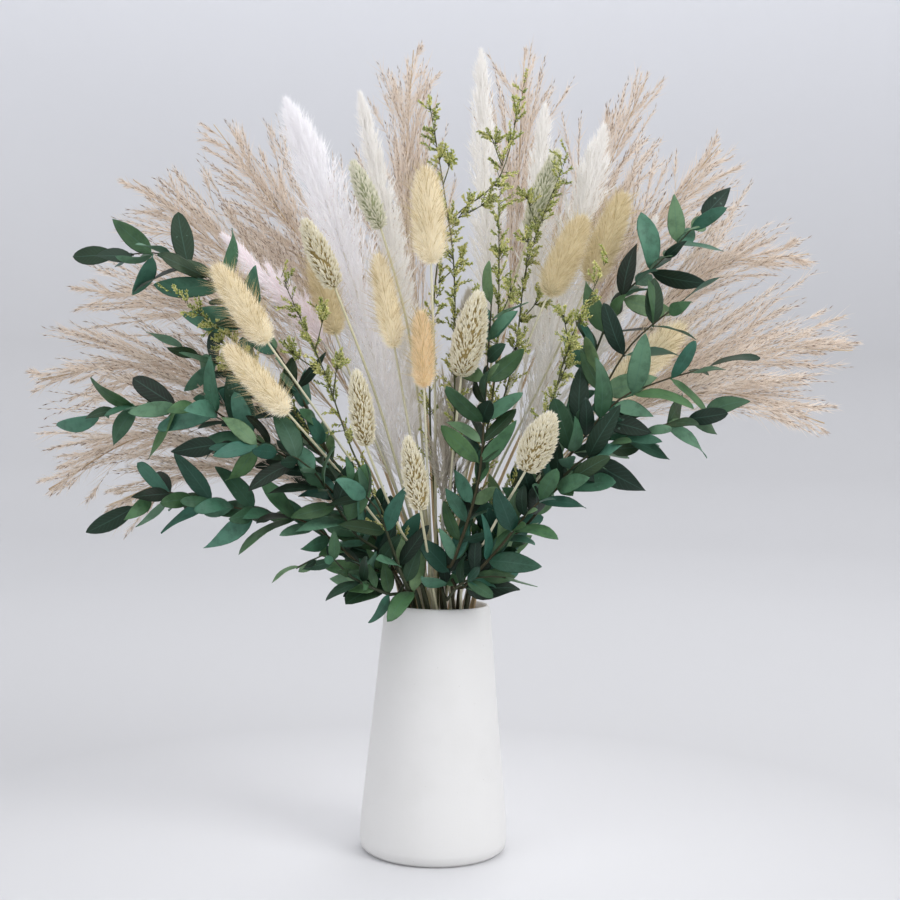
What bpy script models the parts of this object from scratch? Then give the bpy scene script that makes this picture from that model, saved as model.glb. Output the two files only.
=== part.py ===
"""A white ceramic vase of dried flowers.

A tapered vase holds reed plumes, bleached plumes, bunny tails, canary grass, sprays of limonium
and eucalyptus. Every stem stands on the vase's floor, leaves through its mouth and ends in a head,
a plume, buds or leaves of its own, and is one object with what grows on it.

Places and sizes are in millimetres: the origin is the centre of the vase's foot, X points to the
right, Y away from the viewer and Z up.
"""

import math
from collections import namedtuple

import bmesh
import bpy
import numpy as np
from mathutils import Matrix, Vector

MM = 0.001
SEED = 11

# The vase: outer radius and height down the outside, then the wall inside it
VASE_HEIGHT = 168.0
VASE_OUTSIDE = (
    (36.4, 165.0), (39.4, 133.0), (42.3, 101.0), (45.2, 71.0),
    (47.9, 43.0), (50.2, 14.0), (50.3, 8.0), (48.6, 2.0), (46.5, 0.0),
)
VASE_WALL = 4.5
VASE_FLOOR = 6.0
VASE_TURNS = 24
LIP_DROP = 1.8
LIP_ROUND = 0.7
FLOOR_RADIUS = 40.0

# How the stems share the mouth and the floor of the vase
MOUTH_HEIGHT = 174.0
MOUTH_RADIUS = 26.0
MOUTH_SPACING = 6.2
MOUTH_RISE = 15.0
MOUTH_SHIFT = 0.5
STEM_TWIST = math.radians(68)
FLOOR_SPREAD = 1.3
FLOOR_GAP = 0.35
ROUTE_STEP = 68.0

# Room between pieces of different stems, and how routes are pushed apart to make it
GAP = 0.9
LEAF_GAP = 0.4
EASING_ROUNDS = 240
MOUTH_PUSH = 0.35
ROUTE_PUSH = 0.45
ROUTE_NUDGE = 0.05
LONGEST_PUSH = 3.0
TOUCHING = 0.5
ROUTE_CORNER_MOVES = (0.0, 1.0, 0.0)
ROUTE_BETWEEN_MOVES = (1.0, 1.0, 0.4)

# Stem and tip radius by kind
STEM_RADIUS = {
    "bunny_tail": (0.9, 0.8),
    "canary_grass": (1.0, 0.9),
    "white_plume": (1.6, 1.0),
    "reed_plume": (1.5, 0.5),
    "limonium_spray": (1.0, 0.5),
    "eucalyptus": (1.3, 0.8),
}

# Each stem: the radius of its head or plume, or the length of its leaves,
# then the places that it passes above the mouth, the last one its tip
STEMS = {
    "bunny_tail": (
        (12.5, (-8, -60, 395), (-13, -64, 459)),
        (11.0, (-111, -72, 341), (-146, -78, 391)),
        (10.0, (-96, -84, 296), (-137, -90, 339)),
        (9.5, (-31, -48, 341), (-44, -44, 405)),
        (9.0, (-11, -62, 315), (-14, -60, 367)),
        (10.5, (-71, -34, 350), (-88, -28, 406)),
        (12.0, (70, -30, 379), (95, -26, 435)),
        (12.0, (100, -8, 391), (125, -2, 456)),
        (13.0, (112, -30, 312), (163, -34, 363)),
    ),
    "canary_grass": (
        (9.5, (-70, -56, 378), (-91, -60, 422)),
        (8.5, (-43, -18, 423), (-64, -14, 470)),
        (12.0, (13, -56, 322), (24, -58, 378)),
        (8.8, (-46, -86, 276), (-53, -90, 324)),
        (8.5, (-11, -92, 237), (-20, -98, 283)),
        (12.0, (54, -86, 262), (70, -92, 299)),
        (9.5, (59, 4, 427), (78, 8, 485)),
    ),
    "white_plume": (
        (21, (-31, -10, 272), (-63, 0, 391), (-110, 5, 510)),
        (12, (-21, 5, 307), (-39, 20, 427), (-61, 25, 521)),
        (14, (33, 35, 358), (28, 50, 473), (24, 60, 563)),
        (12, (63, 25, 359), (66, 35, 439), (70, 40, 519)),
        (17, (64, 0, 294), (87, 15, 399), (110, 20, 500)),
        (10, (-92, -40, 361), (-118, -45, 385), (-143, -45, 410)),
        (10, (108, 5, 349), (127, 10, 390), (146, 10, 435)),
        (12, (4, -30, 262), (13, -25, 323), (17, -20, 378)),
    ),
    "reed_plume": (
        (34, (-103, 35, 365), (-159, 50, 414), (-230, 60, 468)),
        (34, (-83, 50, 396), (-129, 70, 455), (-175, 80, 514)),
        (26, (-122, 15, 345), (-188, 20, 374), (-258, 20, 382)),
        (26, (-131, 0, 305), (-202, 0, 329), (-277, -5, 317)),
        (24, (-141, -15, 285), (-206, -15, 278), (-265, -15, 242)),
        (14, (-95, -30, 251), (-156, -30, 259), (-220, -30, 233)),
        (30, (92, 60, 409), (120, 75, 485), (149, 85, 555)),
        (34, (112, 40, 385), (156, 50, 445), (200, 55, 501)),
        (26, (138, 20, 360), (192, 20, 406), (257, 20, 417)),
        (26, (143, 0, 320), (213, 0, 346), (283, 0, 348)),
        (22, (134, -20, 305), (193, -20, 316), (259, -20, 297)),
        (26, (-23, 60, 412), (-30, 80, 497), (-27, 95, 577)),
        (28, (52, 70, 413), (55, 90, 503), (58, 105, 579)),
    ),
    "limonium_spray": (
        (24, (9, -45, 308), (7, -40, 393), (-10, -35, 497)),
        (26, (-7, -30, 352), (1, -25, 422), (36, -20, 458), (50, -15, 513)),
        (26, (48, -20, 333), (57, -12, 403), (80, -5, 469)),
        (28, (34, -35, 308), (37, -35, 373), (36, -30, 438)),
        (22, (69, -45, 294), (83, -45, 344), (102, -45, 389)),
        (22, (-107, -50, 310), (-132, -55, 340), (-163, -60, 364)),
        (26, (-56, -55, 271), (-77, -55, 326), (-103, -50, 380)),
    ),
    "eucalyptus": (
        (42, (-71, -40, 266), (-107, -50, 335), (-148, -50, 380), (-183, -45, 399), (-218, -40, 398)),
        (42, (-70, -50, 246), (-121, -65, 280), (-151, -70, 299), (-191, -65, 299), (-221, -60, 293)),
        (38, (-81, -35, 271), (-116, -45, 305), (-142, -45, 325), (-172, -40, 339)),
        (42, (-49, -45, 196), (-85, -60, 226), (-130, -70, 235), (-175, -70, 244), (-195, -70, 234)),
        (38, (-55, -60, 221), (-81, -80, 261), (-111, -85, 275), (-141, -85, 275)),
        (40, (69, -20, 264), (98, -25, 329), (117, -25, 375), (147, -20, 405), (176, -15, 436)),
        (40, (65, -45, 254), (99, -50, 304), (123, -55, 345), (157, -55, 375)),
        (40, (70, -60, 254), (109, -65, 304), (138, -65, 320), (173, -65, 331)),
        (42, (60, -50, 229), (84, -70, 264), (119, -75, 285), (169, -75, 301)),
        (36, (11, -50, 203), (25, -60, 253), (29, -50, 308), (32, -45, 373)),
        (36, (16, -45, 183), (40, -65, 213), (60, -75, 239), (85, -80, 259)),
        (26, (-29, -38, 177), (-54, -65, 191), (-70, -75, 206), (-89, -80, 198)),
        (34, (-19, -45, 182), (-30, -62, 212), (-40, -72, 237), (-66, -75, 261)),
        (28, (6, -34, 174), (16, -52, 188), (31, -60, 193), (44, -62, 193)),
    ),
}

# Colour and roughness by kind
FINISHES = {
    "vase": ((0.80, 0.80, 0.79), 0.55),
    "bunny_tail": ((0.79, 0.64, 0.38), 0.90),
    "canary_grass": ((0.68, 0.63, 0.42), 0.85),
    "white_plume": ((0.82, 0.80, 0.84), 0.95),
    "reed_plume": ((0.56, 0.40, 0.29), 0.90),
    "limonium_spray": ((0.32, 0.36, 0.07), 0.80),
    "eucalyptus": ((0.04, 0.16, 0.11), 0.60),
}

# Bunny tails and canary grass: turned heads with a relief of tufts or scales
HEAD_PROFILE = (
    (0.00, 1.00), (0.52, 0.93), (0.84, 0.78), (0.99, 0.60),
    (1.00, 0.41), (0.88, 0.22), (0.58, 0.06), (0.00, -0.01),
)
HEAD_SIDES = 8
TUFT_HEIGHT = {"bunny_tail": 0.10, "canary_grass": 0.17}
TUFT_LEAN = {"bunny_tail": 0.05, "canary_grass": 0.03}
HEAD_SEAT = 0.35
HEAD_INSET = 0.24

# White plumes: a slim core and the locks of hair that stand out of it
CORE_SHARE = 0.42
CORE_SWELL = 0.8
LOCK_LENGTH = 2.3
TIP_LOCK = 8.0
LOCK_WIDTH = 0.19
LOCK_LEAN = math.radians(24)
LOCK_SPACING = 13.5
LOCK_SINK = 1.0

# Reed plumes: branches with their spikelets
BRANCH_LENGTH = 78.0
TIP_BRANCH = 14.0
BRANCH_WIDTH = 1.4
BRANCH_LEAN = math.radians(27)
BRANCH_SPACING = 13.5
BRANCH_SINK = 2.0

# Limonium: twigs and bud clusters
TWIG_LEAN = math.radians(38)
TWIG_ROOM = 2.0
TWIG_RADII = (0.6, 0.5)
FIRST_TWIG = 3
TWIGS = 3
TWIG_BUDS = (1.5, 7.0)
BUD_LENGTH = 11.0
BUD_WIDTH = 2.3
BUD_ROOM = 1.85
BUD_LEAN = math.radians(36)
BUD_SPACING = 16.0
BUD_SINK = 0.3

# Eucalyptus leaves: opposite pairs of arched blades
LEAFY_LENGTH = 135.0
BARE_LENGTH = 12.0
LEAF_SPACING = 27.0
LEAF_BREADTH = 0.40
LEAF_THICKNESS = 0.8
LEAF_ARCH = 0.06
LEAF_STATIONS = (0.0, 0.30, 0.66, 1.0)
LEAF_WIDTHS = (0.0, 1.0, 0.90, 0.0)
LEAF_SINK = 0.5
TIP_LEAF_SINK = 3.0
LEAF_LEAN = math.radians(46)
TIP_LEAF_LEAN = math.radians(8)
LEAF_DROOP = 0.15
LEAF_SPREAD = math.radians(50)
TIP_LEAF_SPREAD = 4.0
LEAF_ROLL = math.radians(110)
YOUNG_LEAF = 0.8
LEAF_ROD_OFFSETS = np.array((-0.28, 0.0, 0.28))
LEAF_ROD_REACH = np.array((0.30, 0.45, 0.30))
LEAF_ROD_RADIUS = 0.21
LEAF_TURNS = np.radians((0, 25, -25, 50, -50, 75, -75, 110, -110))

# What else a spike or a leaf tries when its first place isn't clear
SPIKE_TURNS = np.radians((0, 30, -30, 60, -60, 100, 180))
SHORTENINGS = (1.0, 0.8, 0.62)
SPIKE_BARE = 3.0

GOLDEN_ANGLE = math.radians(137.5)
SHARP_ANGLE = math.radians(45)
UP = np.array((0.0, 0.0, 1.0))
DEPTH = np.array((0.0, 1.0, 0.0))

Stem = namedtuple("Stem", "name kind size points radii room inset free")
Leaf = namedtuple("Leaf", "root along across length")


# Directions and distances


def unit(vector):
    return vector / np.linalg.norm(vector)


def turned_about(vector, axis, angle):
    """The vector turned about a unit axis by the angle."""
    sine, cosine = math.sin(angle), math.cos(angle)
    return vector * cosine + np.cross(axis, vector) * sine + axis * (axis @ vector) * (1 - cosine)


def leaning(tangent, side, lean, turn):
    """A direction that leaves the tangent by the lean, towards the side turned about the tangent."""
    out = unit(side - tangent * (side @ tangent))
    return unit(tangent * math.cos(lean) + turned_about(out, tangent, turn) * math.sin(lean))


def nearest_points(start_a, end_a, start_b, end_b):
    """For rows of segments: how far along each the nearest points lie, and the vector between them."""
    a, b, r = end_a - start_a, end_b - start_b, start_a - start_b
    aa, bb, ab = (a * a).sum(-1), (b * b).sum(-1), (a * b).sum(-1)
    ar, br = (a * r).sum(-1), (b * r).sum(-1)
    det = np.maximum(aa * bb - ab * ab, 1e-9)
    s = np.clip((ab * br - bb * ar) / det, 0, 1)
    t = np.clip((ab * s + br) / np.maximum(bb, 1e-9), 0, 1)
    s = np.clip((ab * t - ar) / np.maximum(aa, 1e-9), 0, 1)
    return s, t, r + a * s[..., None] - b * t[..., None]


# Routes of the stems


def mouth_places(targets):
    """Where the stems cross the mouth: further out the more they lean, then pushed apart evenly."""
    lean = targets[:, :2] / (targets[:, 2:] - MOUTH_HEIGHT + MOUTH_RISE)
    places = MOUTH_RADIUS * lean / np.maximum(1, np.linalg.norm(lean, axis=1, keepdims=True))
    order = np.arange(len(places))
    turns = order * GOLDEN_ANGLE
    places = places + MOUTH_SHIFT * np.column_stack([np.cos(turns), np.sin(turns)])
    for _ in range(EASING_ROUNDS):
        apart = places[:, None] - places[None]
        distance = np.linalg.norm(apart, axis=2) + np.eye(len(places)) * MOUTH_RADIUS
        push = np.maximum(MOUTH_SPACING - distance, 0)[..., None] * apart / distance[..., None]
        places = places + MOUTH_PUSH * push.sum(axis=1)
        radius = np.linalg.norm(places, axis=1, keepdims=True)
        places = places * np.minimum(1, MOUTH_RADIUS / radius)
    return places


def floor_place(mouth, radius):
    """The foot of a stem: its place in the mouth, twisted round and spread, just above the floor."""
    cosine, sine = math.cos(STEM_TWIST), math.sin(STEM_TWIST)
    x, y = FLOOR_SPREAD * (mouth @ np.array(((cosine, sine), (-sine, cosine))))
    rise = MOUTH_HEIGHT - VASE_FLOOR
    lean = math.hypot(x - mouth[0], y - mouth[1]) / rise
    return np.array((x, y, VASE_FLOOR + FLOOR_GAP + radius * lean))


def smooth_route(corners):
    """Points on a smooth curve through the corners, and which of them are corners.

    Each leg is a cubic whose end slopes weigh the two chords that meet there by their lengths.
    The first leg, inside the vase, stays straight.
    """
    chords = np.diff(corners, axis=0)
    lengths = np.linalg.norm(chords, axis=1)
    slopes = chords / lengths[:, None]
    share = (lengths[:-1] / (lengths[:-1] + lengths[1:]))[:, None]
    tangents = np.vstack([slopes[:1], slopes[:-1] * (1 - share) + slopes[1:] * share, slopes[-1:]])
    points, given = [corners[0], corners[1]], [True, True]
    for leg in range(1, len(chords)):
        steps = max(1, round(lengths[leg] / ROUTE_STEP))
        for step in range(1, steps + 1):
            t = step / steps
            start, end = corners[leg], corners[leg + 1]
            out, back = tangents[leg] * lengths[leg], tangents[leg + 1] * lengths[leg]
            points.append(
                start * (2 * t**3 - 3 * t**2 + 1) + out * (t**3 - 2 * t**2 + t)
                + end * (3 * t**2 - 2 * t**3) + back * (t**3 - t**2)
            )
            given.append(step == steps)
    return np.array(points), np.array(given)


def thickness(kind, size, count, above):
    """The radius of a stem at each point, the room that each leg takes, and where that room starts.

    A white plume's radius swells to its core. A head's leg takes the head's radius, over its middle.
    """
    stem, tip = STEM_RADIUS[kind]
    radii = np.full(count, stem)
    radii[above:] = np.linspace(stem, tip, count - above)
    if kind == "white_plume":
        along = np.linspace(0, 1, count - above)
        radii[above:] = np.maximum(radii[above:], size * CORE_SHARE * np.sin(math.pi * along**CORE_SWELL))
    room = np.maximum(radii[:-1], radii[1:])
    inset = np.zeros(count - 1)
    if kind in TUFT_HEIGHT:
        room[-1] = size * (1 + TUFT_HEIGHT[kind])
        inset[-1] = HEAD_INSET
    return radii, room, inset


def rods(points, room_inset):
    """The ends of each leg's rod, drawn in from the leg's own ends by the inset."""
    legs = np.diff(points, axis=0) * room_inset[:, None]
    return points[:-1] + legs, points[1:] - legs


def planned_stems():
    """Every stem with its route, before the routes make room for each other."""
    rows = [(kind, number, row) for kind, group in STEMS.items() for number, row in enumerate(group, 1)]
    targets = np.array([row[1] for _, _, row in rows], float)
    mouths = mouth_places(targets)
    stems = []
    for (kind, number, row), mouth in zip(rows, mouths):
        size, places = row[0], np.array(row[1:], float)
        foot = floor_place(mouth, STEM_RADIUS[kind][0])
        corners = np.vstack([foot, (*mouth, MOUTH_HEIGHT), places])
        points, given = smooth_route(corners)
        free = np.where(given[:, None], ROUTE_CORNER_MOVES, ROUTE_BETWEEN_MOVES)
        free[:2] = 0
        above = int(np.flatnonzero(given)[2])
        radii, room, inset = thickness(kind, size, len(points), above)
        stems.append(Stem(f"{kind}_{number:02d}", kind, size, points, radii, room, inset, free))
    return stems


def eased(stems):
    """The stems after each pair that comes too near has been pushed apart, over many small rounds."""
    points = np.vstack([stem.points for stem in stems])
    free = np.vstack([stem.free for stem in stems])
    room = np.concatenate([np.append(stem.room, 0) for stem in stems])
    inset = np.concatenate([np.append(stem.inset, 0) for stem in stems])
    owner = np.repeat(np.arange(len(stems)), [len(stem.points) for stem in stems])
    legs = np.flatnonzero(owner[:-1] == owner[1:])
    first, second = np.triu_indices(len(legs), 1)
    other = owner[legs[first]] != owner[legs[second]]
    first, second = legs[first[other]], legs[second[other]]
    need = room[first] + room[second] + GAP
    for _ in range(EASING_ROUNDS):
        starts, ends = rods(points, inset[:-1])
        s, t, apart = nearest_points(starts[first], ends[first], starts[second], ends[second])
        distance = np.linalg.norm(apart, axis=1)
        near = np.flatnonzero(distance < need)
        if not len(near):
            break
        away = apart[near] / np.maximum(distance[near], 1e-3)[:, None]
        away += DEPTH * (distance[near] < TOUCHING)[:, None]
        push = away * ((need - distance)[near] * ROUTE_PUSH + ROUTE_NUDGE)[:, None]
        move = np.zeros_like(points)
        s, t = s[near, None], t[near, None]
        np.add.at(move, first[near], push * (1 - s))
        np.add.at(move, first[near] + 1, push * s)
        np.add.at(move, second[near], -push * (1 - t))
        np.add.at(move, second[near] + 1, -push * t)
        points += np.clip(move, -LONGEST_PUSH, LONGEST_PUSH) * free
    ends = np.cumsum([len(stem.points) for stem in stems])
    return [stem._replace(points=points[end - len(stem.points):end]) for stem, end in zip(stems, ends)]


class Room:
    """The room that stems and what grows on them already take, as rods with round ends."""

    def __init__(self, stems):
        self.owners = np.empty(0, dtype="U32")
        self.starts, self.ends, self.radii = np.empty((0, 3)), np.empty((0, 3)), np.empty(0)
        for stem in stems:
            starts, ends = rods(stem.points, stem.inset)
            self.take(stem.name, starts, ends, stem.room)

    def take(self, owner, starts, ends, radii):
        self.owners = np.append(self.owners, [owner] * len(starts))
        self.starts = np.vstack([self.starts, starts])
        self.ends = np.vstack([self.ends, ends])
        self.radii = np.append(self.radii, radii)

    def free(self, owner, starts, ends, radius, gap):
        """Whether rods of this radius keep the gap to every other stem and to the vase."""
        others = self.owners != owner
        for start, end in zip(starts, ends):
            _, _, apart = nearest_points(start, end, self.starts[others], self.ends[others])
            clear = np.linalg.norm(apart, axis=1) - self.radii[others] - radius
            if clear.min() < gap:
                return False
            along = start + (end - start) * np.linspace(0, 1, 9)[:, None]
            from_wall = np.hypot(along[:, 0], along[:, 1]) - VASE_OUTSIDE[0][0]
            above_lip = along[:, 2] - VASE_HEIGHT
            if (np.maximum(from_wall, above_lip) < radius + gap).any():
                return False
        return True


# Places of what grows on a stem


def stations(stem, reach, spacing):
    """Points spaced back from a stem's tip over the reach: each with its tangent and way to the tip."""
    legs = np.diff(stem.points[1:], axis=0)
    lengths = np.linalg.norm(legs, axis=1)
    along = np.concatenate([[0], np.cumsum(lengths)])
    found = []
    for to_tip in np.arange(0, min(reach, along[-1] - BARE_LENGTH), spacing):
        mark = along[-1] - to_tip
        leg = min(int(np.searchsorted(along, mark, side="right")) - 1, len(legs) - 1)
        tangent = legs[leg] / lengths[leg]
        found.append((stem.points[1 + leg] + tangent * (mark - along[leg]), tangent, to_tip))
    return found


def plume_reach(stem):
    """The length of a plume or a spray: from the first place above the mouth to the tip."""
    legs = np.linalg.norm(np.diff(stem.points[1:], axis=0), axis=1)
    places = np.flatnonzero(stem.free[2:, 0] == 0)
    return legs[places[0] + 1:].sum()


def leaf_rods(leaf):
    """Three rods that cover a leaf: its midrib and a line half way to each edge."""
    breadth = leaf.length * LEAF_BREADTH
    offsets = LEAF_ROD_OFFSETS[:, None] * breadth * leaf.across
    middle = leaf.root + leaf.along * leaf.length * 0.5 + offsets
    reach = LEAF_ROD_REACH[:, None] * leaf.length * leaf.along
    return middle - reach, middle + reach, LEAF_ROD_RADIUS * breadth


def grown_leaf(stem, room, station, side, draw):
    """A leaf on one side of a stem, or at its tip where the side is 0, turned or shortened until clear."""
    point, tangent, to_tip = station
    length = stem.size * (0.92 + 0.16 * draw[0]) * (YOUNG_LEAF if to_tip < LEAF_SPACING * 1.5 else 1)
    sideways = np.cross(tangent, DEPTH) * side if side else UP
    lean = LEAF_LEAN * (0.75 + 0.5 * draw[1]) if side else TIP_LEAF_LEAN
    widening = 1 if side else TIP_LEAF_SPREAD
    for shortening in SHORTENINGS:
        for turn in LEAF_TURNS:
            spread = LEAF_SPREAD * (draw[2] - 0.5) + turn
            along = leaning(tangent, sideways, lean, spread * widening)
            along = unit(along - UP * LEAF_DROOP)
            across = unit(np.cross(UP * 0.5 - DEPTH, along))
            across = turned_about(across, along, LEAF_ROLL * (draw[3] - 0.5))
            root = point - (along * LEAF_SINK if side else tangent * TIP_LEAF_SINK)
            leaf = Leaf(root, along, across, length * shortening)
            starts, ends, radius = leaf_rods(leaf)
            if room.free(stem.name, starts, ends, radius, LEAF_GAP):
                room.take(stem.name, starts, ends, [radius] * 3)
                return leaf
    return None


def leaves_on(stem, room, rng):
    """Opposite pairs along the leafy share of a eucalyptus stem, and one leaf at its tip."""
    leaves = []
    for index, station in enumerate(stations(stem, LEAFY_LENGTH, LEAF_SPACING)):
        for side in ((0,) if index == 0 else (1, -1)):
            leaves.append(grown_leaf(stem, room, station, side, rng.random(4)))
    return [leaf for leaf in leaves if leaf]


def spikes_on(stem, room, found, sizes, lean, radius, sunk):
    """Roots, sunk below the stations, and tips of spikes all round a stem, each turned until clear."""
    spikes = []
    for index, ((point, tangent, _), length) in enumerate(zip(found, sizes)):
        for shortening in SHORTENINGS:
            reach = length * shortening
            ways = (leaning(tangent, UP + DEPTH * 0.3, lean, index * GOLDEN_ANGLE + t) for t in SPIKE_TURNS)
            along = next((way for way in ways if room.free(
                stem.name, [point + way * SPIKE_BARE], [point + way * reach], radius, LEAF_GAP
            )), None)
            if along is not None:
                root, tip = point - along * sunk, point + along * reach
                room.take(stem.name, [root], [tip], [radius])
                spikes.append((root, tip))
                break
    return spikes


# Meshes


def linked(name, data, collection):
    obj = bpy.data.objects.new(name, data)
    collection.objects.link(obj)
    return obj


def evaluated_mesh(obj):
    """A copy of the object's mesh as its modifiers or its curve make it."""
    bpy.context.view_layer.update()
    graph = bpy.context.evaluated_depsgraph_get()
    return bpy.data.meshes.new_from_object(obj.evaluated_get(graph))


def tube(name, points, radii, collection):
    """A tapered four-sided tube along the points, as a closed mesh with its origin at the first."""
    curve = bpy.data.curves.new(name, "CURVE")
    curve.dimensions = "3D"
    curve.bevel_depth = MM
    curve.bevel_resolution = 0
    curve.use_fill_caps = True
    spline = curve.splines.new("POLY")
    spline.points.add(len(points) - 1)
    for point, place, radius in zip(spline.points, (points - points[0]) * MM, radii):
        point.co = (*place, 1)
        point.radius = radius
    route = linked(name + "_route", curve, collection)
    route.location = points[0] * MM
    mesh = evaluated_mesh(route)
    bm = bmesh.new()
    bm.from_mesh(mesh)
    bmesh.ops.remove_doubles(bm, verts=bm.verts, dist=1e-6)
    bm.to_mesh(mesh)
    bm.free()
    obj = linked(name, mesh, collection)
    obj.matrix_world = route.matrix_world
    bpy.data.objects.remove(route)
    bpy.data.curves.remove(curve)
    return obj


def turned(name, profile, sides, collection):
    """An object turned about Z from a ring of radii and heights that runs down its outside.

    The ring closes on itself, or opens where two neighbouring points lie on the axis.
    """
    mesh = bpy.data.meshes.new(name)
    count = len(profile)
    edges = [(i, (i + 1) % count) for i in range(count) if profile[i][0] or profile[(i + 1) % count][0]]
    mesh.from_pydata([(radius * MM, 0, height * MM) for radius, height in profile], edges, [])
    obj = linked(name, mesh, collection)
    screw = obj.modifiers.new("turn", "SCREW")
    screw.steps = screw.render_steps = sides
    screw.use_merge_vertices = True
    screw.merge_threshold = 1e-6
    return obj


def turned_mesh(name, profile, sides, collection):
    """The mesh of a turned shape, to be shared by many placed copies."""
    obj = turned(name, profile, sides, collection)
    mesh = evaluated_mesh(obj)
    bpy.data.objects.remove(obj)
    return mesh


def placed(name, mesh, root, tip, width, collection):
    """A copy of a shape one millimetre long and wide, stretched from the root to the tip."""
    axis = Vector(tip - root)
    turn = Vector(UP).rotation_difference(axis).to_matrix().to_4x4()
    obj = linked(name, mesh, collection)
    shape = Matrix.Diagonal((width, width, axis.length, 1))
    obj.matrix_world = Matrix.Translation(Vector(root * MM)) @ turn @ shape
    return obj


def head_mesh(kind, collection):
    """A turned head one millimetre long, with every second point of its surface raised as a tuft."""
    mesh = turned_mesh(kind, HEAD_PROFILE, HEAD_SIDES, collection)
    for vertex in mesh.vertices:
        x, y, z = vertex.co
        if math.hypot(x, y) < 0.1 * MM or z < 0.05 * MM:
            continue
        ring = min(range(len(HEAD_PROFILE)), key=lambda i: abs(HEAD_PROFILE[i][1] - z / MM))
        side = round(math.atan2(y, x) / (2 * math.pi / HEAD_SIDES))
        raised = 1 if (ring + side) % 2 else -0.4
        vertex.co.x *= 1 + TUFT_HEIGHT[kind] * raised
        vertex.co.y *= 1 + TUFT_HEIGHT[kind] * raised
        vertex.co.z += TUFT_LEAN[kind] * raised * MM
    return mesh


def leaf_object(name, leaf, collection):
    """An arched blade on a grid whose ends close to points, with its thickness by Solidify."""
    bm = bmesh.new()
    rows = len(LEAF_STATIONS) - 1
    bmesh.ops.create_grid(bm, x_segments=1, y_segments=rows, size=0.5)
    normal = np.cross(leaf.along, leaf.across)
    for vertex in bm.verts:
        row = round((vertex.co.y + 0.5) * rows)
        along = LEAF_STATIONS[row]
        half_breadth = vertex.co.x * LEAF_WIDTHS[row] * LEAF_BREADTH
        rise = LEAF_ARCH * 4 * along * (1 - along)
        place = leaf.along * along + leaf.across * half_breadth + normal * rise
        vertex.co = place * leaf.length * MM
    bmesh.ops.remove_doubles(bm, verts=bm.verts, dist=1e-6)
    bmesh.ops.triangulate(bm, faces=bm.faces)
    mesh = bpy.data.meshes.new(name)
    bm.to_mesh(mesh)
    bm.free()
    obj = linked(name, mesh, collection)
    obj.location = leaf.root * MM
    solid = obj.modifiers.new("thickness", "SOLIDIFY")
    solid.thickness = LEAF_THICKNESS * MM
    solid.offset = 0
    return obj


def keep_largest_body(mesh):
    """Drops loose scraps and the walls of sealed hollows, so that one closed body stays."""
    bm = bmesh.new()
    bm.from_mesh(mesh)
    left, bodies = set(bm.verts), []
    while left:
        body, edge = set(), {left.pop()}
        while edge:
            body |= edge
            edge = {e.other_vert(v) for v in edge for e in v.link_edges} - body
        left -= body
        bodies.append(body)
    largest = max(bodies, key=len)
    bmesh.ops.delete(bm, geom=[v for v in bm.verts if v not in largest], context="VERTS")
    bm.to_mesh(mesh)
    bm.free()


def fuse(trunk, growths):
    """Joins the stem by one Boolean union to everything in the collection, which is then removed."""
    join = trunk.modifiers.new("join", "BOOLEAN")
    join.operation = "UNION"
    join.operand_type = "COLLECTION"
    join.collection = growths
    whole = evaluated_mesh(trunk)
    trunk.modifiers.clear()
    for obj in list(growths.objects):
        bpy.data.objects.remove(obj)
    bpy.data.collections.remove(growths)
    keep_largest_body(whole)
    bare, trunk.data = trunk.data, whole
    bpy.data.meshes.remove(bare)


def dressed(obj, kind):
    """The object with a material of its own, and smooth shading on its round faces."""
    colour, roughness = FINISHES[kind]
    material = bpy.data.materials.new(obj.name + "_finish")
    material.use_nodes = True
    shader = material.node_tree.nodes["Principled BSDF"]
    shader.inputs["Base Color"].default_value = (*colour, 1)
    shader.inputs["Roughness"].default_value = roughness
    shader.inputs["Metallic"].default_value = 0
    obj.data.materials.clear()
    obj.data.materials.append(material)
    obj.data.shade_smooth()
    obj.data.set_sharp_from_angle(angle=SHARP_ANGLE)
    return obj


# The pieces


def vase_profile():
    """From the lip down the outside, across the foot, then from the floor up the inside."""
    rim = VASE_OUTSIDE[0][0]
    lip = [(rim - VASE_WALL / 2, VASE_HEIGHT), (rim - LIP_ROUND, VASE_HEIGHT - LIP_ROUND)]
    inside = [(VASE_OUTSIDE[i][0] - VASE_WALL, VASE_OUTSIDE[i][1]) for i in (5, 2, 0)]
    lip_inside = (rim - VASE_WALL + LIP_ROUND, VASE_HEIGHT - LIP_DROP / 2)
    return [*lip, *VASE_OUTSIDE, (0, 0), (0, VASE_FLOOR), (FLOOR_RADIUS, VASE_FLOOR), *inside, lip_inside]


def build_vase(collection):
    return dressed(turned("vase", vase_profile(), VASE_TURNS, collection), "vase")


def build_head(stem, mesh, collection, growths):
    """A bunny tail or a head of canary grass on its stem, which ends inside the head."""
    base, tip = stem.points[-2], stem.points[-1]
    seat = base + (tip - base) * HEAD_SEAT
    radius = STEM_RADIUS[stem.kind][0]
    route = np.vstack([stem.points[:-1], seat])
    trunk = tube(stem.name, route, [radius] * len(route), collection)
    placed(stem.name + "_head", mesh, base, tip, stem.size, growths)
    return trunk


def build_white_plume(stem, room, lock, collection, growths):
    trunk = tube(stem.name, stem.points, stem.radii, collection)
    found = stations(stem, plume_reach(stem), LOCK_SPACING)
    sizes = [min(stem.size * LOCK_LENGTH, TIP_LOCK + to_tip) for _, _, to_tip in found]
    spikes = spikes_on(stem, room, found, sizes, LOCK_LEAN, stem.size * LOCK_WIDTH, LOCK_SINK)
    for number, (root, tip) in enumerate(spikes):
        placed(f"{stem.name}_lock_{number}", lock, root, tip, stem.size * LOCK_WIDTH, growths)
    return trunk


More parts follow.
